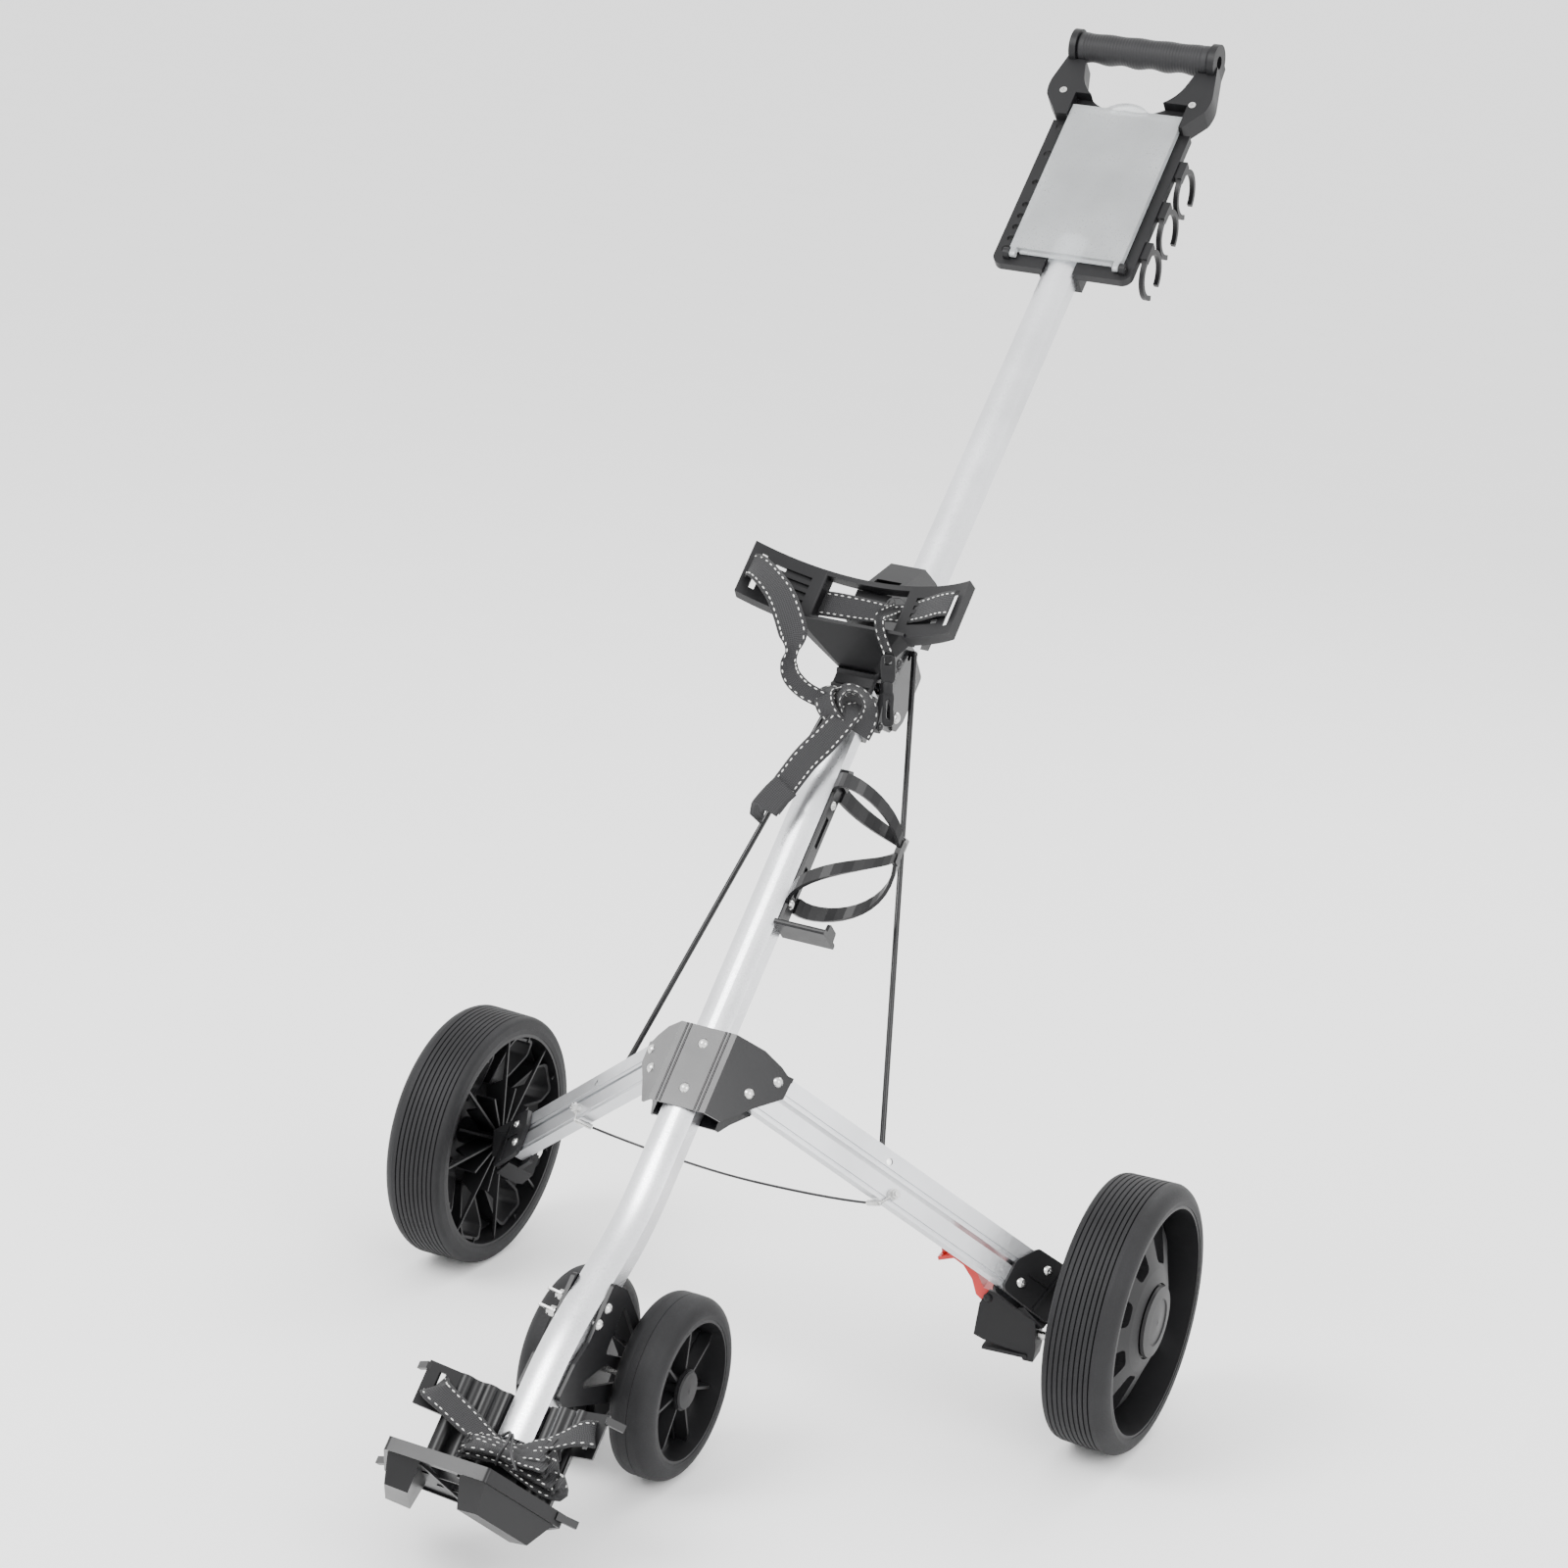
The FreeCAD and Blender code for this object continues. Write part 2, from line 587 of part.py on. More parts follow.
def make_small_wheel():
    """Smooth tyre on a six-spoked wheel with a flat round cap."""
    outer, width, rim = float(SIZE.small_radius), float(SIZE.small_width), float(SIZE.small_rim)
    tyre = new_body(SMALL_AXLE)
    sketch = sketch_on(tyre, "XZ_Plane")
    outline(sketch, [(rim, 0.6), (rim + 4, 0), (outer - 0.6, 13, outer - 4, 3), (outer - 0.4, 20), (outer - 0.9, 20.3),
                     (outer - 0.4, 20.6), (outer - 0.6, 27), (rim + 4, width, outer - 4.4, width - 4), (rim, width - 0.6)])
    spin(tyre, sketch)
    keep(tyre, "right_front_tyre")

    hub = new_body(SMALL_AXLE)
    sketch = sketch_on(hub, "XZ_Plane")
    bore = SIZE.small_axle + SIZE.running_gap
    outline(sketch, [(rim, 0.8), (rim, width - 1), (rim - 2.4, width - 1), (rim - 3.4, width / 2), (rim - 2.4, 0.8)])
    spin(hub, sketch)
    boss = new_body(SMALL_AXLE)
    sketch = sketch_on(boss, "XZ_Plane")
    outline(sketch, [(bore, 1.5), (10, 1.5), (12, 30), (17.5, 31.5), (17.5, 33.6), (bore, 33.6)])
    spin(boss, sketch)
    spokes = []
    for number in range(7):
        turned = moved(SMALL_AXLE, turn=Rotation(Z_AXIS, 20 + number * 360 / 7))
        side = moved(turned, turn=Rotation(X_AXIS, 90))
        spokes.append(slab(side, [(9.5, 4), (rim - 2.6, 12), (rim - 2.6, 29), (rim - 12, 31), (12, 31)], 2.6, z=-1.3))
        spokes.append(block(turned, rim - 12, 7.0, 1.6, x=(rim + 8) / 2, z=17))
    cap = new_body(SMALL_AXLE)
    sketch = sketch_on(cap, "XZ_Plane")
    outline(sketch, [(0, 33.5), (16.4, 33.5), (16.8, 34.6), (15.4, 36), (0, 37)])
    spin(cap, sketch)
    hub = fuse(hub, boss, cap, *spokes)
    keep(hub, "right_front_hub")
    mirror(tyre, "left_front_tyre")
    mirror(hub, "left_front_hub")


# ---------------------------------------------------------------- wheel brackets, axles and the parking brake
BRAKE = Placement(Vector(222, SIZE.axle_y - 46, 126), Rotation(Z_AXIS, 8))
def make_wheel_bracket():
    """The moulded clevis that holds both bar ends and the wheel's axle."""
    step_x, step_y = -17.9, -23.2
    tip = UPPER_TIP
    cheek = round_corners([(-17, 12), (15, 13), (26, -6), (22, -40), (step_x - 14, -37), (step_x - 13, -8)], 5)
    half = SIZE.bar_thick / 2
    front = slab(tip, cheek, 4, z=float(half) + 0.4)
    back = slab(tip, cheek, 4, z=-float(half) - 4.4)
    bridge = slab(tip, [(12.5, 12.4), (14.8, 12.4), (25.5, -6), (21.6, -39.6), (15, -39.6), (19, -8)],
                  SIZE.bar_thick + 1.2, z=-float(half) - 0.6)
    rib_a = block(moved(tip, -1, -14, turn=Rotation(Z_AXIS, -14)), 2.2, 44, 2.2, x=9, z=float(half) + 4)
    rib_b = block(moved(tip, -4, -13), 22, 2.0, 1.8, z=float(half) + 4)
    boss = rod(moved(BIG_AXLE, z=-32), 15, 31)
    lower_web = block(moved(BIG_AXLE, -8, -14, -32), 26, 34, 28)
    arm = block(moved(tip, 12, -30, -8, Rotation(Z_AXIS, -12)), 26, 22, 26, z=-14)
    solid = fuse(front, back, bridge, rib_a, rib_b, boss, lower_web, arm)
    slots = []
    for frame in (UPPER_TIP, LOWER_TIP):
        slots.append(block(frame, 40, SIZE.bar_width + 1.6, SIZE.bar_thick + 0.8, x=-9, z=-float(half) - 0.4))
        slots.append(rod(frame, SIZE.pivot_pin, 60, z=-30))
        slots.append(rod(frame, 13.6, SIZE.bar_thick + 0.8, z=-float(half) - 0.4))
    axle_hole = rod(moved(BIG_AXLE, z=-40), SIZE.axle_radius, 60)
    bracket = cut(solid, *slots, axle_hole, rod(moved(BRAKE, 10, 0, -29, OUT), 4.05, 64))
    keep(bracket, "right_wheel_bracket")
    mirror(bracket, "left_wheel_bracket")

    pins = []
    for frame in (UPPER_TIP, LOWER_TIP):
        reach = SIZE.bar_thick / 2 + 4.4
        pins.append(fuse(rod(frame, SIZE.pivot_pin, reach * 2 + 1, z=-float(reach) - 1),
                         dome(frame, 4.4, z=float(reach)), rod(frame, 4.4, 1.2, z=-float(reach) - 1.2)))
    axle = fuse(rod(moved(BIG_AXLE, z=-34), SIZE.axle_radius, 88.4), rod(moved(BIG_AXLE, z=-36), 9, 2),
                rod(moved(BIG_AXLE, z=-0.9), 8.5, 2.7))
    pins = group(axle, *pins)
    keep(pins, "right_wheel_pins")
    mirror(pins, "left_wheel_pins")
    return bracket




def make_brake(bracket):
    """A toe pedal that pushes a pin into the ribs inside the right wheel."""
    shell = slab(moved(BRAKE, turn=Rotation(X_AXIS, 90)),
                 [(-7, -6), (-9, -36), (0, -39), (34, -44), (37, -50), (46, -50), (47, -40), (44, -12), (30, -6),
                  (12, 6), (0, 7)], 26, z=-13)
    hollow = slab(moved(BRAKE, turn=Rotation(X_AXIS, 90)),
                  [(-20, 20), (-20, -3), (-7, -36.5), (22, -36.5), (22, -20), (10, -8), (8, -3), (6, 20)], 19, z=-9.5)
    pin_way = rod(moved(BRAKE, 10, 0, -29, OUT), 4.05, 60)
    ledge = block(moved(BRAKE, 20, 0, -47), 40, 30, 3)
    pivot = fuse(rod(moved(BRAKE, 0, 14, 0, Rotation(X_AXIS, 90)), 2.5, 28),
                 dome(moved(BRAKE, 0, -13, 0, Rotation(X_AXIS, 90)), 4.2),
                 rod(moved(BRAKE, 0, 14.4, 0, Rotation(X_AXIS, 90)), 4.0, 1.2))
    keep(fuse(cut(fuse(shell, ledge), hollow, pin_way, bracket), pivot), "brake_housing")

    arm = moved(BRAKE, turn=Rotation(X_AXIS, 90))
    lever = slab(arm, [(4.5, -4.5), (4.5, 4.5), (-6, 6.5), (-12, 17), (-22, 28), (-40, 35), (-47, 34), (-46, 30),
                       (-40, 30), (-26, 23), (-17, 12), (-12, -1), (-5, -6), (-4, -29), (3.5, -29)], 17, z=-8.5)
    plate = block(moved(BRAKE, -33, 0, 30.5, Rotation(Y_AXIS, -20)), 30, 30, 3.2)
    ridges = [block(moved(BRAKE, -33, 0, 33.2, Rotation(Y_AXIS, -20)), 1.6, 27, 1.6, x=place)
              for place in (-12, -6.5, -1, 4.5, 10)]
    pivot_bore = rod(moved(BRAKE, 0, 20, 0, Rotation(X_AXIS, 90)), 2.55, 40)
    keep(cut(fuse(lever, plate, *ridges), pivot_bore), "brake_pedal")

    pin = moved(BRAKE, 7, 0, -29, OUT)
    keep(fuse(rod(pin, 4, 67.5), rod(moved(pin, z=-2), 6.5, 2)), "brake_pin")


def make_small_axle():
    half = SIZE.small_inner + 33.2
    middle = Placement(Vector(0, SIZE.axle_y + SIZE.small_axle_y, SIZE.small_radius), OUT)
    keep(fuse(rod(moved(middle, z=-float(half)), SIZE.small_axle, half * 2),
              rod(moved(middle, z=-24.2), 8, 3.4), rod(moved(middle, z=20.8), 8, 3.4)), "front_axle")


# ---------------------------------------------------------------- front wheel fork
SIDE = Rotation(Vector(1, 1, 1), 120)


def side_frame(frame, x=0.0):
    """A frame whose X runs up the tube and whose Y runs out of its front, with Z across."""
    return moved(frame, x, 0, 0, SIDE)


def make_fork():
    """Two lattice side plates, bolted through the tube, which carry the front axle."""
    axle_spot = (-278.5, -94.0)
    plate = round_corners([(-243, 31), (-238, 4), (-264, -104), (-293, -106), (-352, 30), (-350, 43), (-318, 40),
                           (-296, 32)], 4)
    windows = [round_corners([(-249, -2), (-292, -4), (-270, -76)], 3),
               round_corners([(-298, -12), (-334, 24), (-286, -78)], 3)]
    cheeks = []
    for x in (16.2, -19.8):
        body = new_body(side_frame(LOWER, x))
        sketch = sketch_on(body, "XY_Plane")
        outline(sketch, plate)
        for window in windows:
            outline(sketch, window)
        for spot in BOLT_SPOTS:
            ring(sketch, *spot, 2.5)
        ring(sketch, *axle_spot, SIZE.small_axle)
        pad(body, sketch, 3.6)
        cheeks.append(body)
    ties = [block(moved(LOWER, 0, along, depth), 36, 9, 3) for along, depth in ((-248, 2), (-342, 16))]
    ribs = []
    for x in (-18, 18):
        ribs.append(block(moved(LOWER, x, -271, -40, Rotation(X_AXIS, 4)), 3.6, 3, 70, z=-35))
    axle_way = rod(moved(SMALL_AXLE, z=-60), SIZE.small_axle, 60)
    keep(cut(fuse(*cheeks, *ties, *ribs), axle_way), "front_fork")

    bolts, nuts = [], []
    for along, depth in BOLT_SPOTS:
        right = moved(LOWER, 19.8, along, depth, OUT)
        bolts.append(fuse(rod(moved(right, z=-48), 2.5, 48), dome(right, 4.6, flat=0.7)))
        left = moved(LOWER, -19.8, along, depth, OUT)
        hub = rod(moved(left, z=-5), 4.6, 5)
        wing = [(0, 1), (0, 4.5), (9, 13.5), (12.5, 11.5), (5.5, 1)]
        upright = moved(left, turn=Rotation(X_AXIS, -90))
        wings = [slab(upright, round_corners([(side * x, y) for x, y in wing], 1.2), 1.8, z=-0.9) for side in (1, -1)]
        bore = rod(moved(left, z=-60), 2.5, 90)
        nuts.append(cut(fuse(hub, *wings), bore))
    keep(group(*bolts, *nuts), "fork_bolts")


# ---------------------------------------------------------------- foot that holds the bag's base
def make_foot():
    """Corrugated back plate with two strap slots, and a tray with two hollow feet."""
    back = new_body(LOWER)
    sketch = sketch_on(back, "XZ_Plane", 357)
    thick = 3.0
    right = [(15.7, 42), (19, 47.5)]
    humps = [(19 + 9.5 * k, 47.5 + 4.3 * k) for k in range(1, 5)]
    for number, (x, z) in enumerate(humps):
        right.append((x, z, x - 5.2, z + 0.6) if number % 2 else (x, z, x - 4.6, z - 4.6))
    right += [(82, 76)]
    outer = right + [(82, 76 - thick), (59, 63.6 - thick)]
    outer += [(19, 46.6 - thick), (15.7, 40 - thick), (15.7, 33)]
    outline(sketch, outer)
    pad(back, sketch, 84)
    corner = block(moved(LOWER, 82, -419, 60), 46, 50, 60)
    slot = block(moved(LOWER, 70, -375, 40), 5, 24, 60)
    half = cut(back, corner, slot)
    twin = doc.addObject("Part::Mirroring", "Mirror")
    twin.Source = half
    twin.Normal = X_AXIS
    saddle = slab(side_frame(LOWER, -20), [(-404, 28), (-404, 52), (-441, 58), (-441, 20)], 40)
    seat = block(moved(LOWER, 0, -392, 0), 31.6, 24, 80)
    hooks = [block(moved(LOWER, side * 86, -362, 70, Rotation(Y_AXIS, side * 38)), 16, 6, 4) for side in (1, -1)]
    plate = fuse(half, twin, cut(saddle, seat), *hooks)
    keep(plate, "foot_back_plate")

    flat = moved(LOWER, 0, -441, 0, Rotation(X_AXIS, 90))
    rim = [(45, 157), (80, 76), (58, 52), (20, 44), (-20, 44), (-58, 52), (-80, 76), (-45, 157)]
    floor = slab(flat, round_corners(rim, 4), 3, z=6)
    wall = slab(flat, round_corners(rim, 4), 11)
    inside = slab(flat, round_corners([(42.4, 154), (76.6, 76.5), (56.6, 55), (19.6, 47), (-19.6, 47), (-56.6, 55),
                                       (-76.6, 76.5), (-42.4, 154)], 3), 30, z=-4)
    window_a = slab(flat, round_corners([(-12, 140), (12, 140), (18, 84), (-18, 84)], 4), 30, z=-4)
    floor_open = cut(floor, window_a)
    claws = []
    for side in (1, -1):
        rim_corners = ((16, 150), (45, 157), (80, 76), (46, 66))
        sole_corners = ((22, 136), (41, 141), (64, 86), (45, 77))
        room_rim = ((19.4, 147.2), (43, 153.4), (75.6, 78), (47.6, 69.8))
        room_sole = ((25, 134), (40, 137.5), (60, 88), (46, 81.5))
        claw = loft(LOWER, [(side * x, -441, z) for x, z in rim_corners], [(side * x, -474, z) for x, z in sole_corners])
        room = loft(LOWER, [(side * x, -440.9, z) for x, z in room_rim], [(side * x, -471, z) for x, z in room_sole])
        claws.append(cut(claw, room))
    bars = [block(moved(LOWER, x, -447, 100), 3, 11, 90, z=-45) for x in (-17, 17)]
    rungs = [block(moved(LOWER, 0, -446, z), 60, 10, 3) for z in (78, 110)]
    hooks = [block(moved(LOWER, side * 82, -445, 76, Rotation(Y_AXIS, side * 38)), 18, 6, 4) for side in (1, -1)]
    keep(fuse(cut(wall, inside), floor_open, *claws, *bars, *rungs, *hooks), "foot_tray")
    return plate


# ---------------------------------------------------------------- bottle cage
CAGE_AXIS = 56.0
CAGE_WIDTH = 15.0


def make_bottle_cage():
    """Side plate with two pairs of arms that wrap a drinks bottle and meet in front of it."""
    plate = slab(side_frame(LOWER, 15.6), round_corners([(108, -8), (108, 7), (250, 7), (250, -8)], 3), 3.2)
    slots = [block(moved(LOWER, 17, along, 0), 12, 30, 6, z=-3) for along in (150, 200)]
    lug = slab(side_frame(LOWER, 15.6), round_corners([(246, -9), (246, 8), (262, 5), (266, -4), (260, -10)], 2), 7)
    axis = moved(LOWER, CAGE_AXIS, 0, 0, Rotation(X_AXIS, -90))
    arms = []
    for base, meet in ((244, 205), (132, 192)):
        for side in (1, -1):
            corners = 14
            sections = []
            for number in range(corners + 1):
                share = number / corners
                angle = math.radians(180 - side * (14 + share * 162))
                radius = 38.2 - 1.0 * share
                along = base + (meet - base) * (share ** 1.6)
                centre = Vector(CAGE_AXIS + radius * math.cos(angle), along, radius * math.sin(angle))
                out = Vector(math.cos(angle), 0, math.sin(angle))
                up = Vector(0, 1, 0)
                wide = CAGE_WIDTH * (1 - 0.35 * share) / 2
                ring_points = [centre + up * wide - out * 1.7, centre + up * wide + out * 1.7,
                               centre - up * wide + out * 1.7, centre - up * wide - out * 1.7]
                sections.append(Part.makePolygon(ring_points + ring_points[:1]))
            arm = doc.addObject("Part::Feature", "CageArm")
            arm.Shape = Part.makeLoft(sections, True, True)
            arm.Placement = LOWER
            arms.append(arm)
    nose = block(moved(LOWER, CAGE_AXIS + 37.2, 198, -4), 5, 22, 8)
    tab = slab(side_frame(LOWER, 15.6), round_corners([(103, -17), (108, -17), (108, 14), (103, 14)], 2), 48)
    lip = slab(side_frame(LOWER, 60.6), round_corners([(103, -12), (103, 9), (116, 7), (116, -10)], 2), 3)
    holes = [rod(moved(LOWER, 10, along, 0, OUT), 2, 20) for along in CAGE_SCREWS]
    keep(cut(fuse(plate, lug, *arms, nose, tab, lip), *slots, *holes), "bottle_cage")
    screws = []
    for along in CAGE_SCREWS:
        spot = moved(LOWER, 18.8, along, 0, OUT)
        screws.append(fuse(dome(spot, 4.2), rod(moved(spot, z=-6.5), 2, 6.5)))
    keep(group(*screws), "cage_screws")


# ---------------------------------------------------------------- folding hinge and its latch
ROD_TOP = (396.2, -21.2)
ROD_TOP_X = 26.0
PLATE_RIVET = (381.4, -7.3)
LATCH_PIVOT = (316.0, -8.0)


def make_hinge(upper_tube):
    """Bracket on the lower tube, two plates on the upper tube, and the pin that joins them."""
    pin_spot = (float(SIZE.hinge_along), float(SIZE.hinge_depth))
    cheek = round_corners([(300, -13), (300, 9), (336, 9), (341, -8), (357, -40), (356, -54), (342, -57), (333, -50),
                           (322, -22), (318, -13)], 2)
    cheeks = []
    for x in (15.7, -18.2):
        body = new_body(side_frame(LOWER, x))
        sketch = sketch_on(body, "XY_Plane")
        outline(sketch, cheek)
        ring(sketch, *pin_spot, SIZE.hinge_pin)
        for spot in HINGE_RIVETS:
            ring(sketch, *spot, 2.0)
        pad(body, sketch, SIZE.hinge_plate)
        cheeks.append(body)
    web = block(moved(LOWER, 0, 310, -13), 36.4, 20, 2.5)
    rivets = []
    for along, depth in HINGE_RIVETS:
        spot = moved(LOWER, 0, along, depth, OUT)
        rivets.append(fuse(rod(moved(spot, z=-19), 2, 38), rod(moved(spot, z=-19.4), 3.6, 1.2),
                           rod(moved(spot, z=18.2), 3.6, 1.2)))
    pivot = moved(LOWER, 0, *LATCH_PIVOT, OUT)
    latch_pin = fuse(rod(moved(pivot, z=16.5), 2.4, 11.8), dome(moved(pivot, z=27.8), 4.0),
                     rod(moved(pivot, z=18.2), 5.2, 3.2))
    keep(fuse(*cheeks, web, *rivets, latch_pin), "hinge_bracket")

    spot = moved(PIN, turn=OUT)
    keep(fuse(rod(moved(spot, z=-23.2), SIZE.hinge_pin, 46.4), dome(moved(spot, z=21.3), 5.4),
              rod(moved(spot, z=-23), 5, 1.7)), "hinge_pin")

    plate = round_corners([(337, -55), (337, -38), (352, -12), (354, 15), (390, 15), (404, -8), (407, -24), (400, -62),
                           (352, -62)], 4)
    plates = []
    for x in (18.5, -21.0):
        body = new_body(side_frame(LOWER, x))
        sketch = sketch_on(body, "XY_Plane")
        outline(sketch, plate)
        ring(sketch, *pin_spot, SIZE.hinge_pin + SIZE.running_gap)
        ring(sketch, *PLATE_RIVET, 2.5)
        ring(sketch, 388, -50, 2.5)
        ring(sketch, *ROD_TOP, 3.2)
        pad(body, sketch, SIZE.hinge_plate)
        plates.append(body)

    rivets = []
    for along, depth in (PLATE_RIVET, (388.0, -50.0)):
        spot = moved(LOWER, 0, along, depth, OUT)
        rivets.append(fuse(rod(moved(spot, z=-22.4), 2.5, 44.8), dome(moved(spot, z=21), 4.4),
                           rod(moved(spot, z=-22.4), 4.2, 1.4)))
    stud = moved(LOWER, 0, 365, -0.8, OUT)
    latch_stud = fuse(rod(moved(stud, z=18.5), 2, 6.9), rod(moved(stud, z=25.4), 3.6, 1.2))
    keep(cut(fuse(*plates, *rivets, latch_stud), upper_tube), "hinge_plates")


def make_hinge_block():
    """Moulded block between the plates: it grips the upper tube and covers the lower tube's mouth."""
    side = side_frame(LOWER, -18.4)
    profile = [(306, 14.6), (306, 19), (318, 22), (330, 22), (333, 25), (336, 22), (345, 22), (348, 25.5), (351, 22),
               (392, 22), (396, 10), (398, -34), (398, -62), (368, -62), (366, -36), (360, 2), (349, 14.6)]
    solid = slab(side, profile, 36.8)
    tube_way = block(moved(UPPER, 0, -250, -9.9), 31.2, 140, 22.9)
    holes = [rod(moved(LOWER, -60, *spot, OUT), 2.5, 120) for spot in (PLATE_RIVET, (388.0, -50.0))]
    hollow = block(moved(LOWER, 0, 372, -30), 26, 18, 40)
    keep(cut(solid, tube_way, hollow, *holes), "hinge_block")


def make_latch():
    """Over-centre lever on the right-hand side that locks the mast upright."""
    lever = round_corners([(311, -13), (311, -3), (340, 9), (349, 16), (356, 14), (350, 3), (324, -13)], 2)
    body = new_body(side_frame(LOWER, 22.0))
    sketch = sketch_on(body, "XY_Plane")
    outline(sketch, lever)
    ring(sketch, *LATCH_PIVOT, SIZE.hinge_pin - 0.6 + SIZE.running_gap)
    pad(body, sketch, 5.4)
    hook = slab(side_frame(LOWER, 22.0), [(334, 0), (341, 0), (345, 3.6), (364, 3.6), (368, 1.6), (368, -3),
                                          (371, -3), (371, 3), (366, 7), (338, 7)], 3)
    keep(fuse(body, hook), "latch_lever")


# ---------------------------------------------------------------- cradle for the bag's top
def cradle_band(front, back, half, tip):
    """Section of the concave cradle between a front and a back arc."""
    return [(half, tip), (-half, tip, 0, front), (-half - 2, tip - 12), (half + 2, tip - 12, 0, back)]


def make_cradle():
    base, height = 364.0, 53.0
    shell = new_body(LOWER)
    sketch = sketch_on(shell, "XZ_Plane", -(base + height))
    outline(sketch, cradle_band(66, 52, 103, 100))
    pad(shell, sketch, height)
    room = new_body(LOWER)
    sketch = sketch_on(room, "XZ_Plane", -(base + height - 3))
    outline(sketch, cradle_band(62.6, 40, 99, 95))
    pad(room, sketch, height - 6)
    window = block(moved(LOWER, 0.5, 391, 40), 80, 42, 60)
    slots = [block(moved(LOWER, side * 93, 391, 60), 5, 36, 60) for side in (1, -1)]
    grooves = []
    for along in (379, 387, 395, 403):
        for side in (1, -1):
            grooves.append(block(moved(LOWER, side * 66, along, 81.5, Rotation(Y_AXIS, -side * 22)), 34, 4, 30, z=-4.5))
    walls = [block(moved(LOWER, side * 42, 390.5, 54), 3, 53, 17) for side in (1, -1)]
    upper = [(-56, base, 62), (56, base, 62), (50, base, 76), (-50, base, 76)]
    lower = [(-19, base - 13, 22.1), (19, base - 13, 22.1), (18, base - 13, 29), (-18, base - 13, 29)]
    funnel = loft(LOWER, upper, lower)
    lip = slab(moved(LOWER, 0, base + 3, 0, Rotation(X_AXIS, 90)), [(-60, 60), (60, 60), (54, 77), (-54, 77)], 3)
    cradle = cut(fuse(cut(shell, room), walls[0], walls[1], funnel, lip), window, *slots, *grooves)
    keep(cradle, "cradle")

    arm = slab(side_frame(LOWER, -17), [(384, 51.5), (414, 51.5), (470, 10), (476, -22), (476, -66), (428, -62),
                                        (426, -24), (404, 12), (384, 36)], 34)
    tube_way = block(moved(UPPER, 0, -200, -9.9), 31.2, 200, 22.9)
    hollow = block(moved(LOWER, 0, 426, 16), 24, 26, 40)
    bolt = moved(LOWER, 0, 462, -50, OUT)
    keep(fuse(cut(arm, tube_way, hollow), dome(moved(bolt, z=17), 4.6), rod(moved(bolt, z=-20), 4.6, 3)),
         "cradle_clamp")
    return cradle


def run(frame, start, end, width, thick, twist=0.0):
    """A straight run of webbing between two points, turned about its own length."""
    first, last = Vector(*start), Vector(*end)
    length = (last - first).Length
    turn = Rotation(Z_AXIS, last - first).multiply(Rotation(Z_AXIS, twist))
    return block(moved(frame, *start, turn), width, thick, length)


def make_straps(cradle):
    """Plain solids for the webbing: across the window, down to the knot, and its loose tail."""
    across = [run(LOWER, (-40, 391, 60.4), (30, 391, 60.8), 2.2, 25),
              run(LOWER, (29, 391, 60.4), (45, 391, 76.6), 2.2, 25),
              run(LOWER, (44, 391, 76.2), (62, 391, 82.6), 2.2, 25),
              run(LOWER, (61, 391, 82), (91, 391, 98.6), 2.2, 25)]
    hanger = run(LOWER, (31, 388, 68), (30, 371, 85), 9, 5)
    lead = run(LOWER, (30, 372, 84), (41, 352, 71), 9, 5)
    keep(cut(fuse(*across, hanger, lead), cradle), "cradle_strap")
    loop = [run(LOWER, (-95, 391, 101.5), (-66, 374, 105.5), 3, 25, 50),
            run(LOWER, (-66, 376, 105), (-40, 344, 99), 3, 24, 35),
            run(LOWER, (-41, 347, 99), (-36, 322, 80), 14, 7),
            run(LOWER, (-36, 324, 81), (-24, 304, 62), 16, 6),
            run(LOWER, (-26, 305, 63), (2, 302, 48), 16, 6),
            run(LOWER, (-2, 303, 45), (36, 300, 42), 26, 22)]
    tail = [run(LOWER, (24, 300, 44), (4, 266, 40), 3, 25, 20),
            run(LOWER, (5, 268, 40), (-24, 198, 29.5), 3, 25, 20)]
    side = moved(LOWER, 46.5, 326, 47.5, Rotation(Vector(), Vector(-7, 50, 45), Vector(0.3, -0.45, 0.84), "YZX"))
    buckle = fuse(block(side, 13, 24, 6, y=19), block(side, 11, 30, 6.6, y=-18), block(side, 8.5, 14, 7, y=1))
    keep(buckle, "strap_buckle")
    keep(cut(fuse(*loop, *tail), cradle, buckle), "strap_tail")


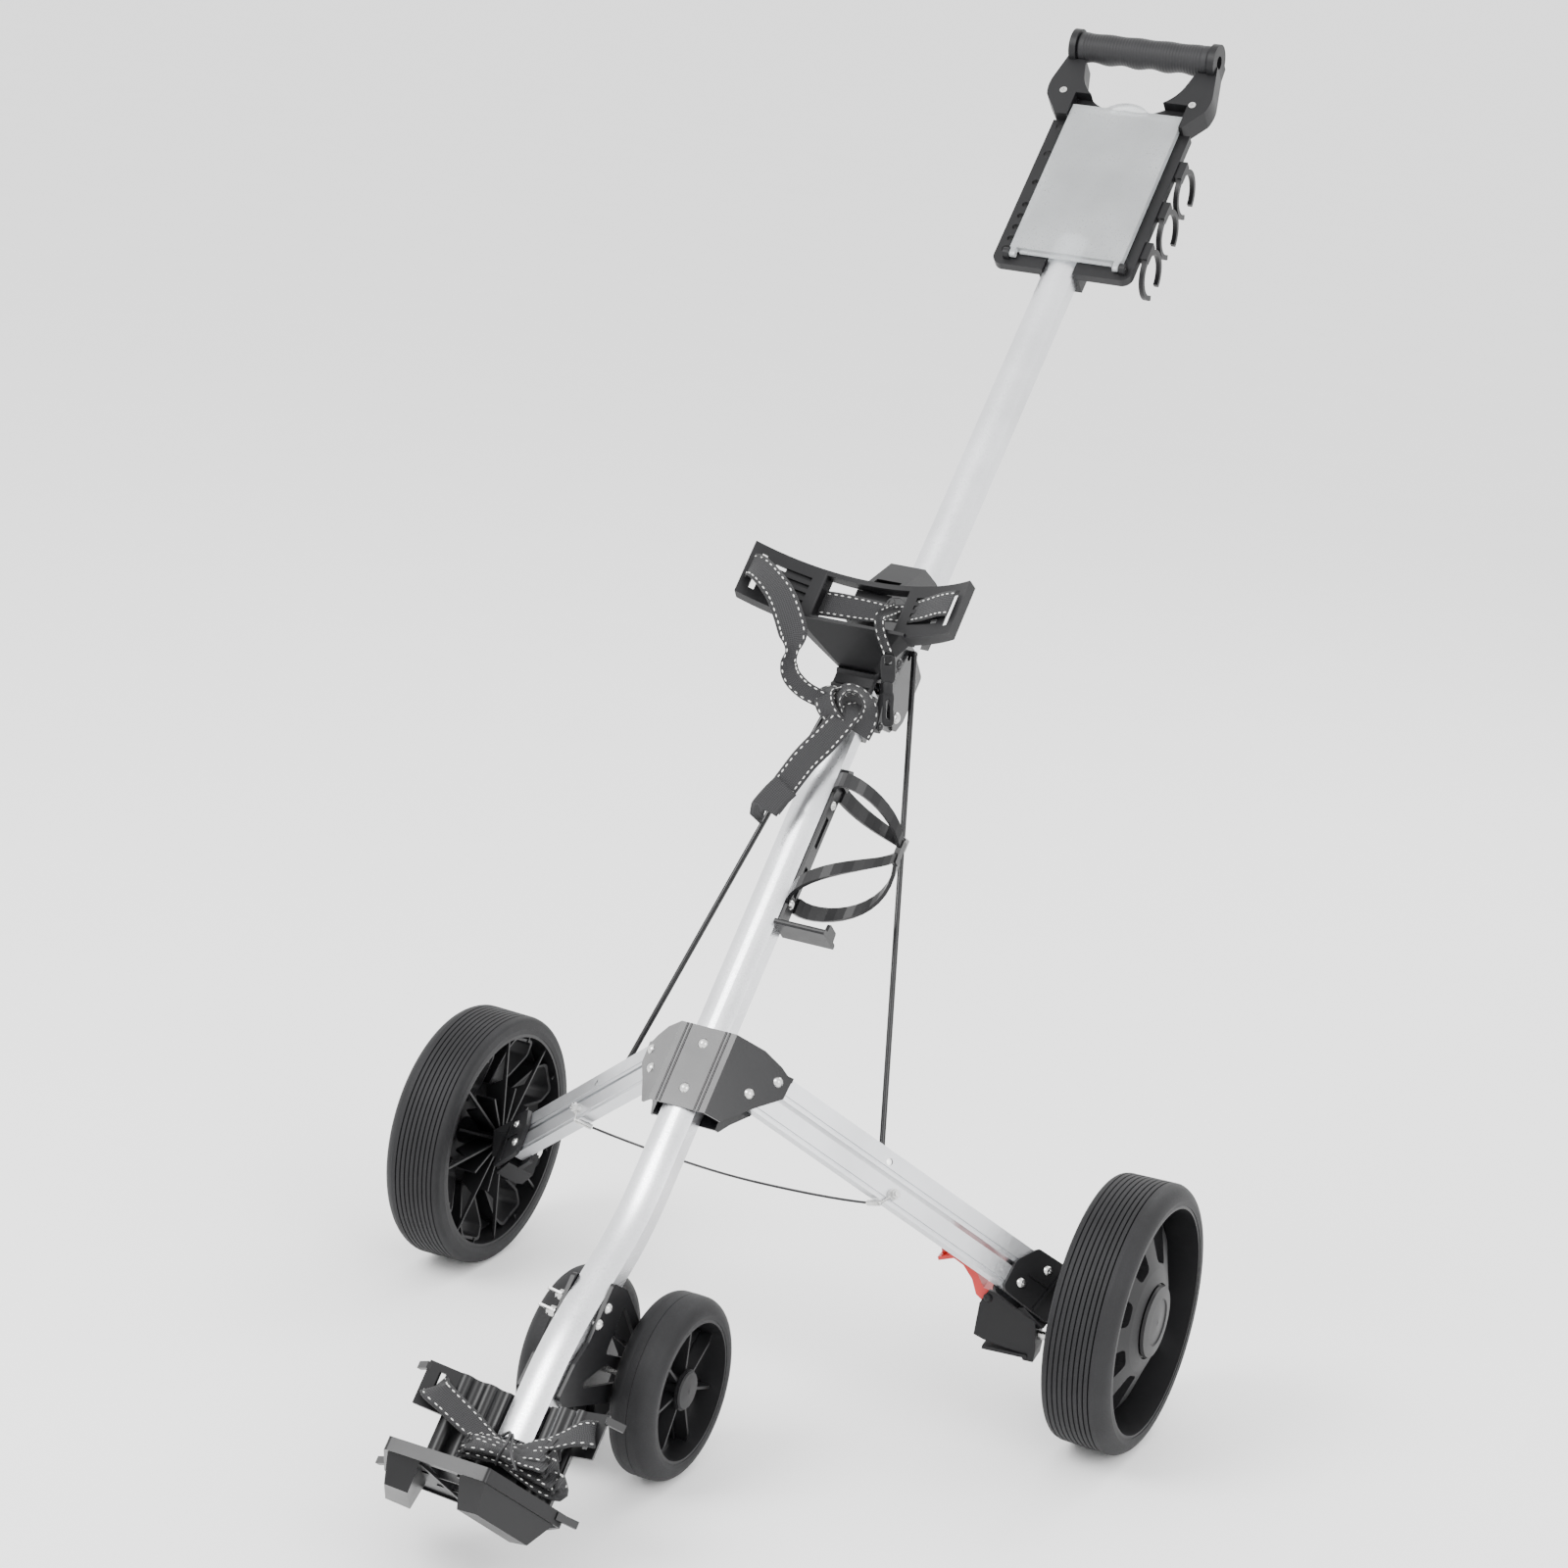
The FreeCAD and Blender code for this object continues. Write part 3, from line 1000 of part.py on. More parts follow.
# ---------------------------------------------------------------- console, lid and handle
def make_console():
    """Board with tee holes down its left side and a shallow tray for the scorecard."""
    thick = SIZE.board_thick
    board = new_body(moved(UPPER, SIZE.board_shift, SIZE.board_bottom, 4))
    sketch = sketch_on(board, "XY_Plane")
    half = float(SIZE.board_width) / 2
    length = float(SIZE.board_length)
    outline(sketch, [(-half + 12, 0, -half + 3, 3), (half - 12, 0), (half, 10, half - 3, 3), (half, length),
                     (-half, length), (-half, 10)])
    pad(board, sketch, thick)
    tray = sketch_on(board, "XY_Plane", thick)
    outline(tray, round_corners([(-48, 14), (54, 14), (54, 178), (-48, 178)], 4))
    pocket(board, tray, 5.5)
    holes = sketch_on(board, "XY_Plane", thick)
    for along, radius in ((18, 4.2), (31, 3.1), (45, 3.1), (59, 3.1), (73, 3.1), (101, 3.1), (137, 4.2), (172, 4.2)):
        ring(holes, -61.5, along, radius)
    pocket(board, holes, 20)
    posts = []
    for x in (-52.5 - 3.5, 61.5 + 1.2):
        posts.append(rod(moved(UPPER, x - 1.5, 196.5, 17.0, OUT), 5.0, 6.0))
        posts.append(block(moved(UPPER, x + 1.5, 196.5, 11), 6, 9, 6))
    bore = rod(moved(UPPER, -64, 196.5, 17.0, OUT), 1.6, 140)
    socket = block(moved(UPPER, 0, 212, -15), 40, 52, 20)
    tube_way = block(moved(UPPER, 0, 205, -9.9), 31.2, 60, 22.9)
    tube_notch = block(moved(UPPER, 0, 200, 0), 32, 60, 12.95)
    screw_hole = rod(moved(UPPER, 0, 222, -20), 2.5, 12)
    keep(cut(fuse(board, *posts, socket), bore, tube_way, tube_notch, screw_hole), "console_board")

    pins = [rod(moved(UPPER, x, 196.5, 17.0, OUT), 1.6, 11.5) for x in (-57.5, 55.2)]
    keep(group(*pins), "lid_pins")



LID_HINGE = (196.5, 17.0)


def make_lid():
    """Clear cover: a shallow tray with a thumb bump at its top edge, hinged at its bottom edge."""
    left, right = -float(SIZE.lid_width) / 2 + SIZE.lid_shift, float(SIZE.lid_width) / 2 + SIZE.lid_shift
    top = 197 + float(SIZE.lid_length) - 3
    lid = new_body(UPPER)
    sketch = sketch_on(lid, "XY_Plane", 13.4)
    outline(sketch, [(left, 202), (right, 202), (right, top), (26, top), (-18, top, 4, top + 9), (left, top)])
    pad(lid, sketch, SIZE.lid_thick)
    inner = sketch_on(lid, "XY_Plane", 13.4)
    outline(inner, [(left + 1.8, 203.8), (right - 1.8, 203.8), (right - 1.8, top - 1.8), (left + 1.8, top - 1.8)])
    pocket(lid, inner, SIZE.lid_thick - 1.6, flip=True)
    ears = [rod(moved(UPPER, x, *LID_HINGE, OUT), 3.4, 5.4) for x in (left + 1.6, right - 7.0)]
    arms = [block(moved(UPPER, x + 2.7, 200.5, 15.0), 5.4, 6, 5.4) for x in (left + 1.6, right - 7.0)]
    strip = block(moved(UPPER, 4.5, 201.5, 14.5), 94, 5, 2.2)
    bore = rod(moved(UPPER, -70, *LID_HINGE, OUT), 1.65, 150)
    keep(cut(fuse(lid, *ears, *arms, strip), bore), "console_lid")


def make_handle():
    """D-shaped frame whose ears carry the grip."""
    outer = [(-66, 366), (-70, 372), (-82, 388), (-83, 412, -84.2, 400), (-76, 446), (-75, 462), (-69, 468),
             (-66, 462), (-66, 446), (-58, 437), (-53, 418), (0, 386, -36, 393), (53, 418, 36, 393), (58, 437),
             (66, 446), (66, 462), (69, 468), (75, 462), (76, 446), (83, 412), (82, 388, 84.2, 400), (70, 372), (66, 366)]
    frame = new_body(UPPER)
    sketch = sketch_on(frame, "XY_Plane", 2)
    outline(sketch, outer)
    pad(frame, sketch, SIZE.handle_depth)
    ears = []
    for x in (-75.5, 68.5):
        ears.append(rod(moved(UPPER, x, SIZE.grip_along, SIZE.grip_lift, OUT), 17.5, 7))
    bore = rod(moved(UPPER, -90, SIZE.grip_along, SIZE.grip_lift, OUT), 6.4, 180)
    core = rod(moved(UPPER, -70, SIZE.grip_along, SIZE.grip_lift, OUT), SIZE.grip_core, 140)
    clear = rod(moved(UPPER, -68.4, SIZE.grip_along, SIZE.grip_lift, OUT), 16.2, 136.8)
    recess = block(moved(UPPER, 4.5, 377, 13.1), 116, 34, 20)
    holes = [rod(moved(UPPER, side * 67, 395, -10), 2.2, 60) for side in (1, -1)]
    holes += [rod(moved(UPPER, side * 67, 395, 22.4), 3.7, 9) for side in (1, -1)]
    keep(cut(fuse(cut(frame, clear), *ears, core), bore, recess, *holes), "handle_frame")

    screws = []
    for side in (1, -1):
        spot = moved(UPPER, side * 67, 395, 8)
        head = cut(rod(moved(spot, z=14.4), 3.6, 1.9), block(moved(spot, z=15.4), 4.4, 0.9, 2),
                   block(moved(spot, z=15.4), 0.9, 4.4, 2))
        screws.append(fuse(rod(spot, 2.2, 15), head))
    socket_screw = moved(UPPER, 0, 222, -17.4)
    screws.append(fuse(rod(socket_screw, 2.5, 5.6), rod(socket_screw, 4.4, 2.4)))
    keep(group(*screws), "handle_screws")

    grip = new_body(moved(UPPER, 0, SIZE.grip_along, SIZE.grip_lift, OUT))
    sketch = sketch_on(grip, "XZ_Plane")
    core_radius, half = SIZE.grip_core, 68.2
    corners = [(core_radius, -half), (15.0, -half), (15.2, -half + 14)]
    for number in range(4):
        start = -half + 14 + number * 27.2
        corners.append((15.2, start + 27.2, 13.6, start + 13.6))
    corners += [(15.0, half), (core_radius, half)]
    outline(sketch, corners)
    spin(grip, sketch)
    keep(grip, "handle_grip")


def make_ball_clips():
    """Three open rings down the right edge that each hold a ball."""
    clips = []
    for along in (318, 268, 218):
        centre = moved(UPPER, 76.2, along, -15, OUT)
        loop = cut(rod(centre, 24.4, 4.5), rod(moved(centre, z=-1), 19.6, 7))
        mouth = slab(moved(centre, z=-1), [(0, 0), (50, -42), (60, -4), (50, 10)], 7)
        root = block(moved(UPPER, 76.9, along + 8, 3), 7.6, 20, 8)
        clips.append(fuse(cut(loop, mouth), root))
    keep(group(*clips), "ball_clips")


# ---------------------------------------------------------------- push rods and the safety cable
ROD_PIN_AXIS = Vector(-0.10613, -0.10809, 0.98846)


def make_push_rods(upper_bar):
    """Thin round rods from the hinge plates to the back of the upper bars."""
    top = LOWER.multVec(Vector(ROD_TOP_X, *ROD_TOP))
    low_frame = moved(UPPER_PIVOT, SIZE.rod_along, 0, -(SIZE.bar_thick / 2 + 4.2), Rotation(Z_AXIS, ROD_PIN_AXIS))
    low = low_frame.Base
    direction = (low - top).normalize()
    length = (low - top).Length
    shaft_frame = Placement(top - direction * 4, Rotation(Z_AXIS, direction))
    shaft = rod(shaft_frame, SIZE.rod_radius, length + 4)
    crook = primitive("Sphere", Placement(top - direction * 4, Rotation()), Radius=SIZE.rod_radius + 0.4)
    hook = rod(Placement(top - direction * 4, Rotation(Z_AXIS, Vector(-1, 0, 0))), SIZE.rod_radius, 3.7)
    eye = rod(moved(low_frame, z=-3), 6, 6)
    eye_hole = rod(moved(low_frame, z=-9), 2.55, 20)
    right = cut(fuse(shaft, crook, hook, eye), eye_hole)
    keep(right, "right_push_rod")
    mirror(right, "left_push_rod")
    bolt = fuse(rod(moved(low_frame, z=-4.2), 2.5, SIZE.bar_thick + 7.6), rod(moved(low_frame, z=-5.4), 4.4, 2.0),
                rod(moved(low_frame, z=3.2), 3.6, 0.9))
    pin = keep(cut(bolt, upper_bar), "right_rod_pin")
    mirror(pin, "left_rod_pin")


CABLE_ROUTE = [(134.9, -136.8, 215.5), (112.0, -131.5, 210.0), (60.0, -129.6, 205.0), (0.0, -129.6, 202.5)]


def make_safety_cable():
    """Thin wire rope between the lower bars, slightly slack, with a crimped sleeve at each end."""
    points = [Vector(x, SIZE.axle_y + y, z) for x, y, z in CABLE_ROUTE]
    points += [Vector(-point.x, point.y, point.z) for point in reversed(points[:-1])]
    edges = []
    start = points[0]
    for before, corner, after in zip(points, points[1:], points[2:]):
        back = (before - corner).normalize()
        ahead = (after - corner).normalize()
        half = back.getAngle(ahead) / 2
        shorter = min((before - corner).Length, (after - corner).Length)
        reach = 0.45 * shorter
        radius = reach * math.tan(half)
        middle = corner + (back + ahead).normalize() * (radius / math.sin(half) - radius)
        enter, leave = corner + back * reach, corner + ahead * reach
        edges += [Part.LineSegment(start, enter).toShape(), Part.Arc(enter, middle, leave).toShape()]
        start = leave
    edges.append(Part.LineSegment(start, points[-1]).toShape())
    spine = Part.Wire(edges)
    section = Part.Wire(Part.makeCircle(1.1, points[0], points[1] - points[0]))
    cable = doc.addObject("Part::Feature", "Cable")
    cable.Shape = spine.makePipeShell([section], True, False)
    expected = math.pi * 1.1 ** 2 * spine.Length
    print("cable length", round(spine.Length, 1), "volume ratio", round(cable.Shape.Volume / expected, 4))
    keep(cable, "safety_cable")

    face = SIZE.bar_thick / 2 + 2.8
    anchor = moved(LOWER_PIVOT, CABLE_ALONG, 0, face).Base
    under_edge = moved(LOWER_PIVOT, CABLE_ALONG - 8, -13.5, face).Base
    toward = (under_edge - points[0]).normalize()
    sleeve = rod(Placement(points[0] + toward * 0.8, Rotation(Z_AXIS, toward)), 2.6, 15)
    crook = primitive("Sphere", Placement(under_edge, Rotation()), Radius=1.6)
    link = fuse(rod(Placement(points[0] + toward, Rotation(Z_AXIS, toward)), 1.1, (under_edge - points[0]).Length - 1),
                crook,
                rod(Placement(under_edge, Rotation(Z_AXIS, anchor - under_edge)), 1.1, 13))
    eye = rod(moved(LOWER_PIVOT, CABLE_ALONG, 0, SIZE.bar_thick / 2 + 1.2), 5.0, 3.2)
    right = fuse(sleeve, link, eye, cable_bolt())
    keep(right, "right_cable_end")
    mirror(right, "left_cable_end")


def make_foot_strap(plate):
    """Plain solids for the lower webbing: from the left slot to the tied bundle and the right slot."""
    pieces = [run(LOWER, (-66, -379, 80.5), (-34, -392, 77), 3, 24, 70),
              run(LOWER, (-35, -391, 77), (-10, -403, 73), 5, 22, 70),
              block(moved(LOWER, 12, -414, 66), 76, 20, 26),
              run(LOWER, (36, -402, 78), (70, -382, 84), 3, 22, 110)]
    keep(cut(fuse(*pieces), plate), "foot_strap")


# ---------------------------------------------------------------- make everything, check it and export it
make_lower_tube()
make_centre_bracket()
upper_bar = make_legs()
make_big_wheel()
make_small_wheel()
make_brake(make_wheel_bracket())
make_small_axle()
make_fork()
make_foot_strap(make_foot())
make_bottle_cage()
make_hinge(make_upper_tube())
make_hinge_block()
make_latch()
make_straps(make_cradle())
make_console()
make_lid()
make_handle()
make_ball_clips()
make_push_rods(upper_bar)
make_safety_cable()
doc.recompute()

for thing in doc.Objects:
    if "Invalid" in thing.State or "Error" in thing.State:
        raise RuntimeError(f"{thing.Name} did not build: {thing.State}")
os.makedirs("parts", exist_ok=True)
for thing in kept:
    if thing.Shape.isNull() or not thing.Shape.isValid():
        raise RuntimeError(f"{thing.Label} has no valid shape")
    thing.Shape.exportStep(f"parts/{thing.Label}.step")
    box = thing.Shape.BoundBox
    print(thing.Label, len(thing.Shape.Solids), round(thing.Shape.Volume),
          [round(v, 1) for v in (box.XMin, box.XMax, box.YMin, box.YMax, box.ZMin, box.ZMax)])
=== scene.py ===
"""Golf push trolley: materials, soft pieces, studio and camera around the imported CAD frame."""
import json
import math

import bmesh
import bpy
from mathutils import Matrix, Vector


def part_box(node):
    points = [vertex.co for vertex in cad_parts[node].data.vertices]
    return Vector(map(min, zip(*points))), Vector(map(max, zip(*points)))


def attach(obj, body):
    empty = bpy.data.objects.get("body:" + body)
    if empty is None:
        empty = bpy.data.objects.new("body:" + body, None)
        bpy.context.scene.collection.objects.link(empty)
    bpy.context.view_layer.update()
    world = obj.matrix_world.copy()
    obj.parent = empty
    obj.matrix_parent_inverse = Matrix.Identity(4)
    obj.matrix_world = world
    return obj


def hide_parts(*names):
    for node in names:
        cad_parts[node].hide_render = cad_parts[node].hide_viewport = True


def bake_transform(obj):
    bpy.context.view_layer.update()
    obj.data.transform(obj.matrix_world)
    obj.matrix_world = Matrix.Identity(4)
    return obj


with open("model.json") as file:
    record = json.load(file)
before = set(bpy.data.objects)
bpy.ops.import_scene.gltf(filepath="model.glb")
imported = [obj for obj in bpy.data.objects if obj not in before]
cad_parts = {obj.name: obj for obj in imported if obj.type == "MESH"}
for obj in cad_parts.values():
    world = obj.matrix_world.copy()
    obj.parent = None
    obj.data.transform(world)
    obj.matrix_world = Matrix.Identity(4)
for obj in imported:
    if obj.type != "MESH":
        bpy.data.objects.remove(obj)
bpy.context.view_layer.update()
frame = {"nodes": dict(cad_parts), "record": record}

nodes = frame["nodes"]
scene = bpy.context.scene
MM = 0.001


def middle(node):
    low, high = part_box(node)
    return (Vector(low) + Vector(high)) / 2


AXLE_Y = middle("right_wheel_tyre").y

# ---------------------------------------------------------------- camera
camera = bpy.data.objects.new("camera", bpy.data.cameras.new("camera"))
scene.collection.objects.link(camera)
camera.data.sensor_width = 36
camera.data.lens = 78.09
RIGHT = Vector((0.8906, 0.4449, 0.0947))
UP = Vector((-0.1956, 0.1868, 0.9629))
BACK = Vector((0.4106, -0.8760, 0.2533))
camera.matrix_world = Matrix((
    (RIGHT.x, UP.x, BACK.x, 1.1892),
    (RIGHT.y, UP.y, BACK.y, -2.6354 + AXLE_Y),
    (RIGHT.z, UP.z, BACK.z, 1.2842),
    (0, 0, 0, 1)))
scene.camera = camera

# ---------------------------------------------------------------- the lower tube's frame, in metres
LOWER_LEAN = math.radians(48.84)
LOWER = Matrix.Translation((0, AXLE_Y - 184.0 * MM, 350.5 * MM)) @ Matrix.Rotation(LOWER_LEAN, 4, "X")
UPPER_LEAN = math.radians(47.47)


# ---------------------------------------------------------------- materials
def shader(name, color, rough, metal=0.0, **more):
    """A new node material and the things needed to add detail to it."""
    material = bpy.data.materials.new(name)
    material.use_nodes = True
    tree = material.node_tree
    base = tree.nodes["Principled BSDF"]
    base.inputs["Base Color"].default_value = (*color, 1)
    base.inputs["Roughness"].default_value = rough
    base.inputs["Metallic"].default_value = metal
    for socket, value in more.items():
        base.inputs[socket.replace("_", " ")].default_value = value
    return material


class Detail:
    """Small helper that adds nodes to one material."""

    def __init__(self, material):
        self.tree = material.node_tree
        self.base = self.tree.nodes["Principled BSDF"]
        self.where = self.tree.nodes.new("ShaderNodeTexCoord")

    def node(self, kind, **settings):
        made = self.tree.nodes.new("ShaderNode" + kind)
        for name, value in settings.items():
            setattr(made, name, value)
        return made

    def join(self, source, target):
        self.tree.links.new(source, target)

    def coords(self, scale=(1, 1, 1), turn=(0, 0, 0), source="Object"):
        mapping = self.node("Mapping")
        mapping.inputs["Scale"].default_value = scale
        mapping.inputs["Rotation"].default_value = turn
        self.join(self.where.outputs[source], mapping.inputs["Vector"])
        return mapping.outputs["Vector"]

    def noise(self, vector, scale, detail=3.0, rough=0.55):
        made = self.node("TexNoise")
        made.inputs["Scale"].default_value = scale
        made.inputs["Detail"].default_value = detail
        made.inputs["Roughness"].default_value = rough
        self.join(vector, made.inputs["Vector"])
        return made.outputs["Fac"]

    def spread(self, value, low, high, to_low, to_high):
        made = self.node("MapRange")
        for socket, number in zip(("From Min", "From Max", "To Min", "To Max"),
                                  (low, high, to_low, to_high)):
            made.inputs[socket].default_value = number
        self.join(value, made.inputs["Value"])
        return made.outputs["Result"]

    def ramp(self, value, stops):
        made = self.node("ValToRGB")
        band = made.color_ramp
        for element, (place, color) in zip(band.elements, stops):
            element.position = place
            element.color = (*color, 1)
        for place, color in stops[2:]:
            band.elements.new(place).color = (*color, 1)
        self.join(value, made.inputs["Fac"])
        return made.outputs["Color"]

    def math(self, operation, first, second):
        made = self.node("Math", operation=operation)
        for socket, value in zip(made.inputs, (first, second)):
            if isinstance(value, (int, float)):
                socket.default_value = value
            else:
                self.join(value, socket)
        return made.outputs[0]

    def bump(self, height, distance, strength=1.0):
        made = self.node("Bump")
        made.inputs["Distance"].default_value = distance
        made.inputs["Strength"].default_value = strength
        self.join(height, made.inputs["Height"])
        self.join(made.outputs["Normal"], self.base.inputs["Normal"])

    def color(self, output):
        self.join(output, self.base.inputs["Base Color"])

    def rough(self, output):
        self.join(output, self.base.inputs["Roughness"])


def brushed(name, color, rough, along_turn):
    """Satin anodised aluminium: fine drawing lines along the metal, with faint handling marks."""
    material = shader(name, color, rough, 1.0)
    made = Detail(material)
    lines = made.noise(made.coords((900, 12, 900), along_turn), 1.0, 2.0)
    blotch = made.noise(made.coords(), 14.0, 4.0)
    darker = tuple(c * 0.86 for c in color)
    made.color(made.ramp(blotch, [(0.30, darker), (0.65, color)]))
    made.rough(made.spread(lines, 0.3, 0.7, rough - 0.06, rough + 0.1))
    made.bump(lines, 0.00003, 0.5)
    return material


def moulded(name, color, rough, grain=1500.0, depth=0.00004, wear_and_edge_highlight=0.25, **more):
    """Moulded plastic: fine spark texture, slight tone changes, paler convex edges that are partly real wear and
    partly a painted highlight, and painted shade in creases and grooves.
    """
    material = shader(name, color, rough, **more)
    made = Detail(material)
    fine = made.noise(made.coords(), grain, 2.0)
    cloud = made.noise(made.coords(), 9.0, 4.0)
    # Pointiness paints convex edges and ridges paler, partly real wear and partly a painted highlight, and paints
    # creases and grooves darker as painted shade.
    edge = made.node("NewGeometry").outputs["Pointiness"]
    pale = tuple(min(1.0, c * (1 + wear_and_edge_highlight) + 0.008 * wear_and_edge_highlight) for c in color)
    dark = tuple(c * 0.72 for c in color)
    tone = made.math("ADD", made.math("MULTIPLY", cloud, 0.55), made.math("MULTIPLY", edge, 0.55))
    made.color(made.ramp(tone, [(0.38, dark), (0.66, pale)]))
    made.rough(made.spread(cloud, 0.3, 0.7, rough - 0.05, rough + 0.07))
    made.bump(fine, depth, 0.6)
    return material


def lacquer(name, color):
    """Gloss powder coat with a faint orange-peel surface."""
    material = shader(name, color, 0.2, Coat_Weight=0.12, Coat_Roughness=0.1, Specular_IOR_Level=0.35)
    made = Detail(material)
    peel = made.noise(made.coords(), 420.0, 2.0)
    cloud = made.noise(made.coords(), 16.0, 3.0)
    made.color(made.ramp(cloud, [(0.3, tuple(c * 0.7 for c in color)), (0.7, color)]))
    made.rough(made.spread(cloud, 0.3, 0.7, 0.18, 0.28))
    made.bump(peel, 0.00005, 0.5)
    return material


def plated(name, color, rough):
    """Zinc or nickel plate on small turned and pressed pieces."""
    material = shader(name, color, rough, 1.0)
    made = Detail(material)
    grains = made.noise(made.coords(), 700.0, 3.0)
    cloud = made.noise(made.coords(), 60.0, 3.0)
    made.color(made.ramp(cloud, [(0.3, tuple(c * 0.78 for c in color)), (0.7, color)]))
    made.rough(made.spread(grains, 0.3, 0.7, rough - 0.07, rough + 0.1))
    made.bump(grains, 0.00002, 0.4)
    return material


def foam_rubber(name, color):
    """Closed-cell tyre rubber: matt, finely pitted, with greyer dusty patches here and there."""
    material = shader(name, color, 0.62, Specular_IOR_Level=0.3)
    made = Detail(material)
    pits = made.noise(made.coords(), 1300.0, 3.0, 0.7)
    dust = made.noise(made.coords(), 22.0, 5.0)
    grey = tuple(c * 1.6 + 0.002 for c in color)
    made.color(made.ramp(dust, [(0.36, color), (0.72, grey)]))
    made.rough(made.spread(pits, 0.3, 0.7, 0.54, 0.74))
    made.bump(pits, 0.00009, 0.6)
    return material


def frosted(name):
    """The scorecard cover: thin, frosted, and slightly grey."""
    material = shader(name, (0.78, 0.80, 0.81), 0.32, Transmission_Weight=0.72, IOR=1.3)
    made = Detail(material)
    frost = made.noise(made.coords(), 1100.0, 2.0)
    cloud = made.noise(made.coords(), 18.0, 3.0)
    made.color(made.ramp(cloud, [(0.3, (0.70, 0.72, 0.73)), (0.7, (0.84, 0.86, 0.87))]))
    made.rough(made.spread(frost, 0.3, 0.7, 0.26, 0.40))
    made.bump(frost, 0.00003, 0.4)
    return material


def webbing(name):
    """Woven black webbing: a tight chevron weave that follows the strap."""
    material = shader(name, (0.022, 0.022, 0.024), 0.78, Sheen_Weight=0.08, Sheen_Roughness=0.4)
    made = Detail(material)
    split = made.node("SeparateXYZ")
    made.join(made.where.outputs["UV"], split.inputs[0])
    along, across = split.outputs["X"], split.outputs["Y"]
    zigzag = made.math("PINGPONG", made.math("MULTIPLY", across, 25.0), 3.1)
    weft = made.math("SINE", made.math("ADD", made.math("MULTIPLY", along, 3600.0), zigzag), 0.0)
    warp = made.math("SINE", made.math("MULTIPLY", across, 118.0), 0.0)
    cloth = made.math("MULTIPLY", made.math("ADD", weft, warp), 0.5)
    made.color(made.ramp(made.spread(cloth, -1.0, 1.0, 0.0, 1.0),
                         [(0.15, (0.003, 0.003, 0.0035)), (0.85, (0.022, 0.022, 0.024))]))
    made.bump(cloth, 0.0003, 0.8)
    return material


TUBE_TURN = (math.radians(-48), 0, 0)
MATERIALS = {
    "anodised_tube": brushed("anodised_tube", (0.80, 0.81, 0.83), 0.32, TUBE_TURN),
    "bar": brushed("bar", (0.66, 0.67, 0.69), 0.34, TUBE_TURN),
    "zinc": plated("zinc", (0.66, 0.66, 0.65), 0.27),
    "black_steel": lacquer("black_steel", (0.004, 0.004, 0.005)),
    "gloss_black": moulded("gloss_black", (0.004, 0.004, 0.0046), 0.34, 900.0, 0.00002,
                           Specular_IOR_Level=0.3),
    "black_plastic": moulded("black_plastic", (0.0045, 0.0045, 0.0052), 0.45, Specular_IOR_Level=0.25),
    "red_plastic": moulded("red_plastic", (0.50, 0.012, 0.010), 0.33, 1200.0, 0.00003, 0.1),
    "tyre": foam_rubber("tyre", (0.005, 0.005, 0.0058)),
    "grip_rubber": moulded("grip_rubber", (0.007, 0.007, 0.008), 0.55, 900.0, 0.0001, 0.35,
                           Specular_IOR_Level=0.35),
    "clear_lid": frosted("clear_lid"),
    "webbing": webbing("webbing"),
    "thread": moulded("thread", (0.72, 0.72, 0.70), 0.6, 2500.0, 0.00008, 0.05),
    "cable": moulded("cable", (0.014, 0.014, 0.015), 0.35, 2500.0, 0.00004),
}
for part in frame["record"]["subparts"]:
    thing = nodes[part["node"]]
    thing.data.materials.clear()
    thing.data.materials.append(MATERIALS[part["material_slot"]])



# ---------------------------------------------------------------- building helpers for the new pieces
def piece(name, mesh, body, look, replaced=(), smooth=True):
    """A finished mesh as a piece that rides on a body."""
    made = bpy.data.objects.new(name, mesh)
    scene.collection.objects.link(made)
    mesh.materials.clear()
    mesh.materials.append(MATERIALS[look])
    if smooth:
        for face in mesh.polygons:
            face.use_smooth = True
    if body:
        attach(made, body)
    if replaced:
        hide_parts(*replaced)
    return made


def smooth_line(points, steps):
    """A Catmull-Rom line through points of any size, with a number of steps for each span."""
    ends = [[2 * a - b for a, b in zip(points[0], points[1])],
            [2 * a - b for a, b in zip(points[-1], points[-2])]]
    padded = [ends[0], *points, ends[1]]
    line = []
    for p0, p1, p2, p3 in zip(padded, padded[1:], padded[2:], padded[3:]):
        for step in range(steps):
            t = step / steps
            line.append([0.5 * (2 * b + (c - a) * t + (2 * a - 5 * b + 4 * c - d) * t * t
                                + (3 * b - a - 3 * c + d) * t ** 3) for a, b, c, d in zip(p0, p1, p2, p3)])
    line.append(list(points[-1]))
    return line


def skin(rings, closed_ends=True, loop=False):
    """A mesh over rings of points, with U along the rings in metres and V around from 0 to 1."""
    mesh = bmesh.new()
    rows = [[mesh.verts.new(point) for point in ring] for ring in rings]
    count = len(rows[0])
    lengths = [0.0]
    for before, after in zip(rings, rings[1:]):
        centre_a = sum((Vector(p) for p in before), Vector()) / count
        centre_b = sum((Vector(p) for p in after), Vector()) / count
        lengths.append(lengths[-1] + (centre_b - centre_a).length)
    layer = mesh.loops.layers.uv.new("UVMap")
    pairs = list(zip(range(len(rows) - 1), range(1, len(rows))))
    if loop:
        pairs.append((len(rows) - 1, 0))
    for low, high in pairs:
        for index in range(count):
            other = (index + 1) % count
            face = mesh.faces.new((rows[low][index], rows[low][other], rows[high][other],
                                   rows[high][index]))
            top = lengths[high] if high else lengths[-1]
            places = ((lengths[low], index), (lengths[low], index + 1), (top, index + 1), (top, index))
            for corner, (u, v) in zip(face.loops, places):
                corner[layer].uv = (u, v / count)
    if closed_ends and not loop:
        mesh.faces.new(list(reversed(rows[0])))
        mesh.faces.new(rows[-1])
    bmesh.ops.recalc_face_normals(mesh, faces=mesh.faces)
    data = bpy.data.meshes.new("skin")
    mesh.to_mesh(data)
    mesh.free()
    return data


